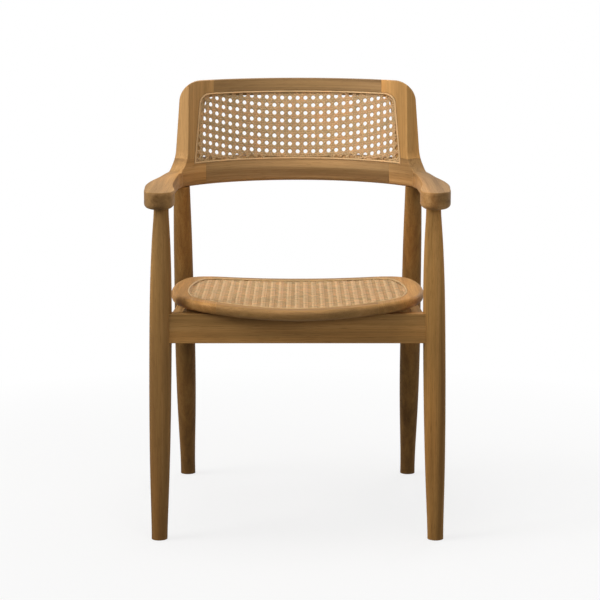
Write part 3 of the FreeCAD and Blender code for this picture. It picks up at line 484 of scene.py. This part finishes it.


# Piece, grain, tone, warmth and, for a leg, the share of its lightness that its foot keeps, a
# painted shade.
# The tones are partly the wood's own and partly painted light and shade, set piece by piece to how
# brightly each is lit.
BACK_AND_ARMS = (
    ("arm_left", "ARM", 0.93, 0.2),
    ("arm_right", "ARM", 0.87, 0.1),
    ("back_lower_rail", "BOW", 1.10, -0.4),
    ("back_stile_left", "STILE", 1.12, 0.1),
    ("back_stile_right", "STILE", 1.22, 0.5),
    ("crest_rail", "BOW", 0.80, -0.2),
)
# The rear legs' low tones are painted shade.
LEGS = (
    ("front_leg_left", "Z", 1.16, 0.6, 0.52),
    ("front_leg_right", "Z", 1.26, 0.8, 0.72),
    ("rear_leg_left", "Z", 0.70, 1.0, 0.72),
    ("rear_leg_right", "Z", 0.72, 1.0, 0.80),
)
RAILS = (
    ("front_apron", "X", 1.04, 0.6),
    ("rear_rail", "X", 0.9, 0.5),
    ("side_rail_left", "Y", 0.9, 0.5),
    ("side_rail_right", "Y", 0.9, 0.5),
    ("fixing_blocks", "X", 0.95, 0.3),
)
# The front member's low tone is painted shade.
SEAT_MEMBERS = (
    ("seat_front_member", "X", 0.88, 0.4),
    ("seat_rear_member", "X", 1.0, 0.4),
    ("seat_side_left", "Y", 1.02, 0.5),
    ("seat_side_right", "Y", 0.96, 0.5),
)
DOWEL_SEED, DOWEL_TONE = 41, 1.25


class FrameOperator:
    """What all the builders share: each can be undone."""

    bl_options = {"REGISTER", "UNDO"}


class CHAIR_OT_back_and_arms(FrameOperator, bpy.types.Operator):
    """Finishes the arms, the lower back rail, the stiles and the crest"""

    bl_idname = "chair.back_and_arms"
    bl_label = "Back and arms"

    def execute(self, context):
        finish_wood(BACK_AND_ARMS, 1)
        return {"FINISHED"}


class CHAIR_OT_legs(FrameOperator, bpy.types.Operator):
    """Finishes the four legs"""

    bl_idname = "chair.legs"
    bl_label = "Legs"

    def execute(self, context):
        finish_wood(LEGS, 11)
        return {"FINISHED"}


class CHAIR_OT_rails(FrameOperator, bpy.types.Operator):
    """Finishes the rails between the legs and the blocks behind them"""

    bl_idname = "chair.rails"
    bl_label = "Rails"

    def execute(self, context):
        finish_wood(RAILS, 21)
        return {"FINISHED"}


class CHAIR_OT_seat_frame(FrameOperator, bpy.types.Operator):
    """Finishes the members of the seat"""

    bl_idname = "chair.seat_frame"
    bl_label = "Seat frame"

    def execute(self, context):
        finish_wood(SEAT_MEMBERS, 31)
        return {"FINISHED"}


# The back's woven panel: heights and half widths as seen from the front, in metres

BACK_RADIUS = 0.2617
BACK_MIDDLE_HEIGHT = 0.749
BACK_LOW, BACK_HIGH = 0.680, 0.818
BACK_LOW_HALF, BACK_HIGH_HALF = 0.207, 0.1965
BACK_CORNER = 0.020
BACK_ROW_CLIMB = 0.33  # rise of a row of holes for each metre that the sheet bends forward
STRAND_INSET = 0.0028
ANGLE_STEP, WIDEST_ANGLE = math.radians(0.05), math.radians(60)


def back_angles():
    """Angle round the bow for each distance along the bent sheet, as a table."""
    table = [(0.0, 0.0)]
    angle, run = 0.0, 0.0
    while angle < WIDEST_ANGLE:
        stretch = math.hypot(math.cos(angle), math.sin(angle) * math.cos(LEAN))
        run += BACK_RADIUS * stretch * ANGLE_STEP
        angle += ANGLE_STEP
        table.append((run, angle))
    return table


BACK_TABLE = back_angles()


def back_angle(run):
    """Angle round the bow at a distance along the sheet."""
    share = abs(run) / BACK_TABLE[-1][0] * (len(BACK_TABLE) - 1)
    low = min(len(BACK_TABLE) - 2, int(share))
    while BACK_TABLE[low][0] > abs(run) and low > 0:
        low -= 1
    while BACK_TABLE[low + 1][0] < abs(run) and low < len(BACK_TABLE) - 2:
        low += 1
    (run_a, angle_a), (run_b, angle_b) = BACK_TABLE[low], BACK_TABLE[low + 1]
    angle = angle_a + (angle_b - angle_a) * (abs(run) - run_a) / (run_b - run_a)
    return math.copysign(angle, run)


def back_place(run, rise, lift):
    """Maps the flat webbing of the back onto the bent, leaning panel; lift is forward."""
    angle = back_angle(run)
    sag = BACK_RADIUS * (1 - math.cos(angle))
    z = BACK_MIDDLE_HEIGHT + rise * math.cos(LEAN) + sag * BACK_ROW_CLIMB
    y = BACK_CENTRE_Y + (z - FACET_HEIGHT) * math.tan(LEAN) + BACK_RADIUS * math.cos(angle)
    x = BACK_RADIUS * math.sin(angle)
    normal = Vector((math.sin(angle), math.cos(angle), -math.tan(LEAN) * math.cos(angle)))
    return Vector((x, y, z)) - normal.normalized() * lift


def in_back_panel(run, rise):
    """Whether a point of the flat webbing lies inside the back's panel."""
    place = back_place(run, rise, 0.0)
    low, high = BACK_LOW + STRAND_INSET, BACK_HIGH - STRAND_INSET
    if not low < place.z < high:
        return False
    share = (place.z - BACK_LOW) / (BACK_HIGH - BACK_LOW)
    half = BACK_LOW_HALF + share * (BACK_HIGH_HALF - BACK_LOW_HALF) - STRAND_INSET
    x = abs(place.x)
    if x > half:
        return False
    radius = BACK_CORNER - STRAND_INSET
    corner_x, corner_z = half - radius, high - radius
    if x > corner_x and place.z > corner_z:
        return math.hypot(x - corner_x, place.z - corner_z) < radius
    return True


# The seat: a dish that slopes to the back, and its outline as shares of half width and length

SEAT_FRONT_Y = -0.291
SEAT_LENGTH = 0.450
SEAT_HALF = 0.242
SEAT_FRONT_HEIGHT = 0.453
DISH_HALF_SPAN, DISH_DEPTH = 0.200, 0.011
SEAT_DISH_RADIUS = (DISH_HALF_SPAN ** 2 + DISH_DEPTH ** 2) / (2 * DISH_DEPTH)
SEAT_DROP = 0.012
SEAT_SLOPE = math.asin(SEAT_DROP / SEAT_LENGTH)
SEAT_MIDDLE_DEPTH = 0.0027
SEAT_BORDER = 0.031
SEAT_OUTLINE = (
    (0, 0), (0.20, 0.012), (0.42, 0.045), (0.62, 0.088), (0.80, 0.140), (0.925, 0.215),
    (0.985, 0.33), (1.0, 0.45), (0.99, 0.60), (0.955, 0.74), (0.885, 0.855), (0.74, 0.935),
    (0.52, 0.972), (0.26, 0.992), (0, 1.0))


def seat_place(x, y, lift):
    """Maps a point of the plan onto the dished cane of the seat; lift is upward."""
    axis = (SEAT_FRONT_HEIGHT + SEAT_DISH_RADIUS / math.cos(SEAT_SLOPE)
            - (y - SEAT_FRONT_Y) * math.tan(SEAT_SLOPE))
    radius = SEAT_DISH_RADIUS + SEAT_MIDDLE_DEPTH
    z = axis - math.sqrt(radius ** 2 - x ** 2) / math.cos(SEAT_SLOPE)
    return Vector((x, y, z + lift))


def spline_through(points, per_span):
    """A smooth closed line through points (Catmull-Rom)."""
    line = []
    count = len(points)
    for index in range(count):
        a, b, c, d = (points[(index + shift) % count] for shift in (-1, 0, 1, 2))
        for step in range(per_span):
            t = step / per_span
            line.append(0.5 * ((2 * b) + (c - a) * t + (2 * a - 5 * b + 4 * c - d) * t * t
                               + (3 * b - a - 3 * c + d) * t * t * t))
    return line


def seat_line(inset, per_span=8):
    """The seat's outline in plan, moved in by an inset."""
    right = [Vector((x * SEAT_HALF, SEAT_FRONT_Y + y * SEAT_LENGTH)) for x, y in SEAT_OUTLINE]
    left = [Vector((-point.x, point.y)) for point in right[-2:0:-1]]
    line = spline_through(right + left, per_span)
    moved = []
    for index, point in enumerate(line):
        way = (line[(index + 1) % len(line)] - line[index - 1]).normalized()
        moved.append(point + Vector((-way.y, way.x)) * inset)
    return moved


def inside(line, x, y):
    """Whether a point of the plan lies inside a closed line."""
    hit = False
    for a, b in zip(line, line[1:] + line[:1]):
        if (a.y > y) != (b.y > y) and x < a.x + (y - a.y) * (b.x - a.x) / (b.y - a.y):
            hit = not hit
    return hit


# Weaving

# Section of a strand, as shares of its width and thickness.
RIBBON_PROFILE = (
    (-0.5, 0.0), (-0.34, 0.5), (0.34, 0.5), (0.5, 0.0), (0.30, -0.5), (-0.30, -0.5))
SHORTEST_RUN = 3
SLANT_STEPS = (-0.5, -0.36, -0.2, 0.0, 0.2, 0.36)
WAVE_FLATNESS = 0.6
PAIR_LIFT = 0.55
CROSSING_SPREAD = 0.9

# Half width, low end and high end of the webbing before it is cut to the panel, and the place
# of its holes as a share of the pitch.
BACK_REACH, BACK_PHASE = (0.24, -0.11, 0.11), (0.0, 0.5)
SEAT_REACH, SEAT_PHASE = (0.21, -0.27, 0.14), (0.5, 0.0)


def strand_mesh(name, points, faces, uvs):
    """A mesh with a map named strand, which runs along and round each strand."""
    mesh = bpy.data.meshes.new(name)
    mesh.from_pydata(points, [], faces)
    layer = mesh.uv_layers.new(name="strand")
    layer.data.foreach_set("uv", [value for face in uvs for pair in face for value in pair])
    return mesh


def wave(turn):
    """A rounded over-and-under wave, flatter at its tops than a cosine."""
    value = math.cos(turn)
    return math.copysign(abs(value) ** WAVE_FLATNESS, value)


def crossing(share, gap):
    """Height of a paired strand near a crossing: over one strand, under its twin."""
    spread = gap * CROSSING_SPREAD
    return -math.exp(-((share + gap) / spread) ** 2) + math.exp(-((share - gap) / spread) ** 2)


class Weaver:
    """Collects the strands of one woven panel."""

    def __init__(self, place, allowed, cane):
        self.place, self.allowed, self.cane = place, allowed, cane
        self.points, self.faces, self.uvs = [], [], []

    def strand(self, samples, width):
        """One strand through (a, b, lift) samples of the flat webbing, cut to the panel."""
        run = []
        for sample in samples:
            if self.allowed(sample[0], sample[1]):
                run.append(sample)
            else:
                self.lay(run, width)
                run = []
        self.lay(run, width)

    def lay(self, run, width):
        """Builds the ribbon of one unbroken run."""
        if len(run) < SHORTEST_RUN:
            return
        thickness = self.cane.thickness
        start = len(self.points)
        travelled = 0.0
        lengths = []
        for index, (a, b, lift) in enumerate(run):
            before = run[max(0, index - 1)]
            after = run[min(len(run) - 1, index + 1)]
            way = Vector((after[0] - before[0], after[1] - before[1])).normalized()
            across = Vector((-way.y, way.x)) * width
            if index:
                travelled += math.dist(run[index - 1][:2], (a, b))
            lengths.append(travelled)
            for side, up in RIBBON_PROFILE:
                self.points.append(self.place(
                    a + across.x * side, b + across.y * side, lift + up * thickness))
        sides = len(RIBBON_PROFILE)
        for ring in range(len(run) - 1):
            low, high = start + ring * sides, start + (ring + 1) * sides
            for corner in range(sides):
                after = (corner + 1) % sides
                self.faces.append((low + corner, low + after, high + after, high + corner))
                edge, next_edge = corner / sides, (corner + 1) / sides
                self.uvs.append((
                    (lengths[ring], edge), (lengths[ring], next_edge),
                    (lengths[ring + 1], next_edge), (lengths[ring + 1], edge)))
        self.faces.append(tuple(start + corner for corner in reversed(range(sides))))
        self.uvs.append(((lengths[0], 0.5),) * sides)
        last = start + (len(run) - 1) * sides
        self.faces.append(tuple(last + corner for corner in range(sides)))
        self.uvs.append(((lengths[-1], 0.5),) * sides)

    def weave(self, reach, steps, phase):
        """Lays upright pairs, level pairs and both slants over a rectangle of the webbing.

        Holes lie at whole numbers of the pitch plus the phase, in both directions.
        """
        half_a, low_b, high_b = reach
        cane, pitch = self.cane, self.cane.pitch
        half_gap = cane.pair_gap / 2
        lift = cane.thickness * PAIR_LIFT
        columns = range(-int(half_a / pitch) - 2, int(half_a / pitch) + 3)
        rows = range(int(low_b / pitch) - 2, int(high_b / pitch) + 3)
        offset_a, offset_b = (phase[0] + 0.5) * pitch, (phase[1] + 0.5) * pitch
        for column in columns:
            for hand in (-1, 1):
                a = column * pitch + offset_a + hand * half_gap
                samples = []
                for row in rows:
                    middle = row * pitch + offset_b
                    for share in steps:
                        near = crossing(share, half_gap / pitch) * hand
                        samples.append((a, middle + share * pitch, lift * near))
                self.strand(samples, cane.strand_width)
        for row in rows:
            for hand in (-1, 1):
                b = row * pitch + offset_b + hand * half_gap
                samples = []
                for column in columns:
                    middle = column * pitch + offset_a
                    for share in steps:
                        near = crossing(share, half_gap / pitch) * hand
                        samples.append((middle + share * pitch, b, -lift * near))
                self.strand(samples, cane.strand_width)
        span = len(columns) + len(rows)
        for hand in (-1, 1):
            for count in range(-span, span):
                samples = []
                for column in columns:
                    for share in SLANT_STEPS:
                        turn = column + share
                        a = turn * pitch + offset_a
                        b = (hand * turn + count + 0.5) * pitch + offset_b
                        if low_b - pitch < b < high_b + pitch:
                            height = hand * cane.thickness * wave(2 * math.pi * turn)
                            samples.append((a, b, height))
                if samples:
                    self.strand(samples, cane.slant_width)

    def mesh(self, name):
        """All strands laid so far as one smooth mesh."""
        points = [tuple(point) for point in self.points]
        mesh = strand_mesh(name, points, self.faces, self.uvs)
        for polygon in mesh.polygons:
            polygon.use_smooth = True
        mesh.update()
        return mesh


class CHAIR_OT_back_cane(FrameOperator, bpy.types.Operator):
    """Weaves the cane of the back"""

    bl_idname = "chair.back_cane"
    bl_label = "Back cane"

    def execute(self, context):
        cane = context.scene.chair_cane
        weaver = Weaver(back_place, in_back_panel, cane)
        gap = cane.pair_gap / 2 / cane.pitch
        steps = (-0.5, -0.3, -gap * 1.7, -gap, 0.0, gap, gap * 1.7, 0.3)
        weaver.weave(BACK_REACH, steps, BACK_PHASE)
        mesh = weaver.mesh("back_weave")
        material = cane_material("cane_back", BACK_CANE_LOOK)
        add_object("back_weave", mesh, material, "back_cane")
        return {"FINISHED"}


class CHAIR_OT_seat_cane(FrameOperator, bpy.types.Operator):
    """Weaves the cane of the seat"""

    bl_idname = "chair.seat_cane"
    bl_label = "Seat cane"

    def execute(self, context):
        cane = context.scene.chair_cane
        line = seat_line(SEAT_BORDER + STRAND_INSET)
        weaver = Weaver(seat_place, lambda x, y: inside(line, x, y), cane)
        gap = cane.pair_gap / 2 / cane.pitch
        steps = (-0.5, -0.25, -gap, 0.0, gap, 0.25)
        weaver.weave(SEAT_REACH, steps, SEAT_PHASE)
        mesh = weaver.mesh("seat_weave")
        material = cane_material("cane_seat", SEAT_CANE_LOOK)
        add_object("seat_weave", mesh, material, "seat_cane")
        return {"FINISHED"}


# The reeds that cover the cane's edge. The profile gives shares of their width and rise.

REED_PROFILE = (
    (0.0, 0.0), (0.0, 0.62), (0.14, 0.86), (0.36, 1.0), (0.64, 1.0), (0.86, 0.86), (1.0, 0.62),
    (1.0, 0.0))
REED_INSET, REED_WIDTH = 0.0006, 0.0034
BACK_REED_RADIUS, BACK_REED_RISE = 0.2604, 0.0024
SEAT_REED_SINK, SEAT_REED_RISE = 0.0014, 0.0022
REED_SMOOTH_ANGLE = math.radians(50)
LEVEL_STEPS, SIDE_STEPS, CORNER_STEPS = 40, 12, 8


def ring_mesh(name, rings):
    """A closed band from rings of points, one ring per corner of its section."""
    count, sections = len(rings[0]), len(rings)
    points = [tuple(point) for ring in rings for point in ring]
    faces, uvs = [], []
    travelled = [0.0]
    for a, b in zip(rings[0], rings[0][1:] + rings[0][:1]):
        travelled.append(travelled[-1] + (b - a).length)
    for section in range(sections):
        after = (section + 1) % sections
        low, high = section / sections, (section + 1) / sections
        for index in range(count):
            following = (index + 1) % count
            faces.append((section * count + index, after * count + index,
                          after * count + following, section * count + following))
            uvs.append(((travelled[index], low), (travelled[index], high),
                        (travelled[index + 1], high), (travelled[index + 1], low)))
    mesh = strand_mesh(name, points, faces, uvs)
    edit = bmesh.new()
    edit.from_mesh(mesh)
    bmesh.ops.recalc_face_normals(edit, faces=edit.faces)
    edit.to_mesh(mesh)
    edit.free()
    for polygon in mesh.polygons:
        polygon.use_smooth = True
    mesh.set_sharp_from_angle(angle=REED_SMOOTH_ANGLE)
    return mesh


def back_front_line(inset):
    """The back panel's outline seen from the front, moved in by an inset, as (x, z) points."""
    low, high = BACK_LOW + inset, BACK_HIGH - inset
    low_half, high_half = BACK_LOW_HALF - inset, BACK_HIGH_HALF - inset
    radius = BACK_CORNER - inset / 2
    slant = math.atan2(high - low, low_half - high_half)
    run = radius / math.tan((math.pi - slant) / 2)
    centre = (high_half - run, high - radius)
    right = [(low_half * (step / LEVEL_STEPS), low) for step in range(LEVEL_STEPS + 1)]
    start = (high_half + run * math.cos(slant), high - run * math.sin(slant))
    for step in range(1, SIDE_STEPS):
        share = step / SIDE_STEPS
        right.append((low_half + (start[0] - low_half) * share, low + (start[1] - low) * share))
    turn = math.pi / 2 - slant
    for step in range(CORNER_STEPS + 1):
        angle = turn + (math.pi / 2 - turn) * step / CORNER_STEPS
        right.append((centre[0] + radius * math.cos(angle), centre[1] + radius * math.sin(angle)))
    for step in range(1, LEVEL_STEPS + 1):
        right.append((centre[0] * (1 - step / LEVEL_STEPS), high))
    left = [(-x, z) for x, z in right[-2:0:-1]]
    return right + left


def on_back(x, z, radius):
    """A point of the leaning bow over a place seen from the front, at a radius."""
    y = (BACK_CENTRE_Y + (z - FACET_HEIGHT) * math.tan(LEAN)
         + math.sqrt(radius ** 2 - x ** 2))
    return Vector((x, y, z))


class CHAIR_OT_splines(FrameOperator, bpy.types.Operator):
    """Lays the reed that holds the cane's edge in the back and in the seat"""

    bl_idname = "chair.splines"
    bl_label = "Reed splines"

    def execute(self, context):
        back_rings, seat_rings = [], []
        for across, up in REED_PROFILE:
            inset = REED_INSET + across * REED_WIDTH
            radius = BACK_REED_RADIUS - up * BACK_REED_RISE
            back_rings.append([on_back(x, z, radius) for x, z in back_front_line(inset)])
            line = seat_line(SEAT_BORDER + REED_INSET + across * REED_WIDTH)
            lift = SEAT_MIDDLE_DEPTH - SEAT_REED_SINK + up * SEAT_REED_RISE
            seat_rings.append([seat_place(point.x, point.y, lift) for point in line])
        add_object("back_reed", ring_mesh("back_reed", back_rings),
                   cane_material("reed_back", BACK_REED_LOOK), "back_spline")
        add_object("seat_reed", ring_mesh("seat_reed", seat_rings),
                   cane_material("reed_seat", SEAT_REED_LOOK), "seat_spline")
        return {"FINISHED"}


class CHAIR_OT_fixings(FrameOperator, bpy.types.Operator):
    """Finishes the dowels, the screws and the foot glides"""

    bl_idname = "chair.fixings"
    bl_label = "Fixings"

    def execute(self, context):
        dowel = wood_material("wood_dowels", "X", DOWEL_SEED, DOWEL_TONE)
        steel = metal_material("zinc_steel")
        for node in ("seat_frame_dowels", "back_frame_dowels"):
            finish_cad(node, dowel)
        for node in ("seat_screws", "block_screws"):
            finish_cad(node, steel)
        finish_cad("foot_glides", plastic_material("glide_nylon"))
        return {"FINISHED"}


# Stage

# Name, place, point aimed at, size, watts, spread in degrees and colour.
LIGHTS = (
    ("top_light", (-0.2, -0.2, 2.5), (0, 0, 0.7), 1.4, 9.5, 110, (1.0, 0.985, 0.96)),
    ("key_light", (-2.4, -0.8, 2.2), (0, 0, 1.0), 1.6, 9.0, 62, (1.0, 0.98, 0.95)),
    ("fill_light", (1.2, -2.7, 1.75), (0, 0, 1.15), 1.6, 3.1, 52, WHITE),
    ("back_light", (1.6, 2.6, 1.9), (0, 0, 0.8), 1.6, 4.0, 90, WHITE),
)
FLOOR_HALF = 14.0
PAPER = (0.95, 0.95, 0.95, 1.0)  # the floor where the camera sees it
GLOW_RING = (0.35, 1.4)  # distances between which the floor fades to plain white
GLOW_SHARE = (0.78, 1.0)
AIR_STRENGTH = (0.20, 1.0)  # of the surround as a light and as it is seen
SENSOR_WIDTH = 36.0
CLIP_START, CLIP_END = 0.1, 60.0


def add_light(name, place, target, size, power, spread, tint):
    """A square soft light aimed at a point, its beam narrowed to a spread."""
    lamp = bpy.data.lights.new(name, "AREA")
    lamp.shape = "SQUARE"
    lamp.size = size
    lamp.spread = math.radians(spread)
    lamp.energy = power
    lamp.color = tint
    thing = bpy.data.objects.new(name, lamp)
    thing.location = place
    thing.rotation_euler = (Vector(target) - Vector(place)).to_track_quat("-Z", "Y").to_euler()
    bpy.context.scene.collection.objects.link(thing)


def floor_material(floor_colour):
    """A grey floor as light falls on it, which the camera sees as paper that fades to white."""
    material, nodes, links, shader = new_material("floor_paper")
    shader.inputs["Roughness"].default_value = 0.9
    shader.inputs["Specular IOR Level"].default_value = 0.0
    glow = nodes.new("ShaderNodeEmission")
    glow.inputs["Color"].default_value = (*WHITE, 1.0)
    glow.inputs["Strength"].default_value = 1.0
    place = nodes.new("ShaderNodeTexCoord")
    away = nodes.new("ShaderNodeVectorMath")
    away.operation = "LENGTH"
    links.new(place.outputs["Object"], away.inputs[0])
    share = map_range(nodes, links, away.outputs["Value"], GLOW_RING, GLOW_SHARE)
    looked = looked_at(nodes, links)
    paper = blend_colour(nodes, links, "MIX", looked, (*floor_colour, 1.0), PAPER)
    links.new(paper, shader.inputs["Base Color"])
    mix = nodes.new("ShaderNodeMixShader")
    links.new(maths(nodes, links, "MULTIPLY", looked, share), mix.inputs[0])
    links.new(shader.outputs["BSDF"], mix.inputs[1])
    links.new(glow.outputs["Emission"], mix.inputs[2])
    links.new(mix.outputs["Shader"], nodes["Material Output"].inputs["Surface"])
    return material


def add_floor(floor_colour):
    """A wide square floor under the chair."""
    mesh = bpy.data.meshes.new("studio_floor")
    corners = [(FLOOR_HALF * x, FLOOR_HALF * y, 0) for x, y in ((-1, -1), (1, -1), (1, 1), (-1, 1))]
    mesh.from_pydata(corners, [], [(0, 1, 2, 3)])
    mesh.materials.append(floor_material(floor_colour))
    floor = bpy.data.objects.new("studio_floor", mesh)
    bpy.context.scene.collection.objects.link(floor)


def add_air():
    """A faint light from all round, which the camera sees as white."""
    world = bpy.data.worlds.new("studio_air")
    bpy.context.scene.world = world
    world.use_nodes = True
    nodes, links = world.node_tree.nodes, world.node_tree.links
    background = nodes["Background"]
    strength = map_range(nodes, links, looked_at(nodes, links), (0.0, 1.0), AIR_STRENGTH)
    links.new(strength, background.inputs["Strength"])
    background.inputs["Color"].default_value = (*WHITE, 1.0)


def add_camera(settings):
    """The camera in front of the chair, looking a little down."""
    lens = bpy.data.cameras.new("photo_camera")
    lens.lens = settings.lens
    lens.sensor_width = SENSOR_WIDTH
    lens.clip_start, lens.clip_end = CLIP_START, CLIP_END
    camera = bpy.data.objects.new("photo_camera", lens)
    bpy.context.scene.collection.objects.link(camera)
    turn = (Matrix.Rotation(math.pi / 2 - settings.tilt, 4, "X")
            @ Matrix.Rotation(settings.roll, 4, "Z"))
    place = (settings.aside, -settings.distance, settings.height)
    camera.matrix_world = Matrix.Translation(place) @ turn
    bpy.context.scene.camera = camera


class CHAIR_OT_stage(FrameOperator, bpy.types.Operator):
    """Sets up the floor, the lights, the white surround and the camera"""

    bl_idname = "chair.stage"
    bl_label = "Stage"

    def execute(self, context):
        settings = context.scene.chair_stage
        add_floor(settings.floor_colour)
        add_air()
        for light in LIGHTS:
            add_light(*light)
        add_camera(settings)
        context.scene.view_settings.view_transform = "Standard"
        return {"FINISHED"}


PIECE_OPERATORS = (
    CHAIR_OT_back_and_arms, CHAIR_OT_legs, CHAIR_OT_rails, CHAIR_OT_seat_frame,
    CHAIR_OT_back_cane, CHAIR_OT_seat_cane, CHAIR_OT_splines, CHAIR_OT_fixings, CHAIR_OT_stage)


class CHAIR_PT_sidebar(bpy.types.Panel):
    """The chair's builders, in order, and their settings"""

    bl_idname = "CHAIR_PT_sidebar"
    bl_label = "Cane armchair"
    bl_space_type = "VIEW_3D"
    bl_region_type = "UI"
    bl_category = "Chair"

    def draw(self, context):
        for operator in PIECE_OPERATORS:
            self.layout.operator(operator.bl_idname)
        scene = context.scene
        for group in (scene.chair_wood, scene.chair_cane, scene.chair_stage):
            for name in group.bl_rna.properties.keys():
                if name not in {"rna_type", "name"}:
                    self.layout.prop(group, name)


CLASSES = (WoodSettings, CaneSettings, StageSettings, *PIECE_OPERATORS, CHAIR_PT_sidebar)


def register():
    """Registers the classes and hangs the settings on the scene."""
    for made in CLASSES:
        bpy.utils.register_class(made)
    bpy.types.Scene.chair_wood = PointerProperty(type=WoodSettings)
    bpy.types.Scene.chair_cane = PointerProperty(type=CaneSettings)
    bpy.types.Scene.chair_stage = PointerProperty(type=StageSettings)


def unregister():
    """Takes the settings and the classes away again."""
    for name in ("chair_wood", "chair_cane", "chair_stage"):
        delattr(bpy.types.Scene, name)
    for made in reversed(CLASSES):
        bpy.utils.unregister_class(made)


def main():
    """Runs the builders in order."""
    register()
    for operator in PIECE_OPERATORS:
        group, name = operator.bl_idname.split(".")
        result = getattr(getattr(bpy.ops, group), name)()
        if result != {"FINISHED"}:
            raise RuntimeError(f"{operator.bl_label} did not finish")
    bpy.context.view_layer.update()


if __name__ == "__main__":
    main()
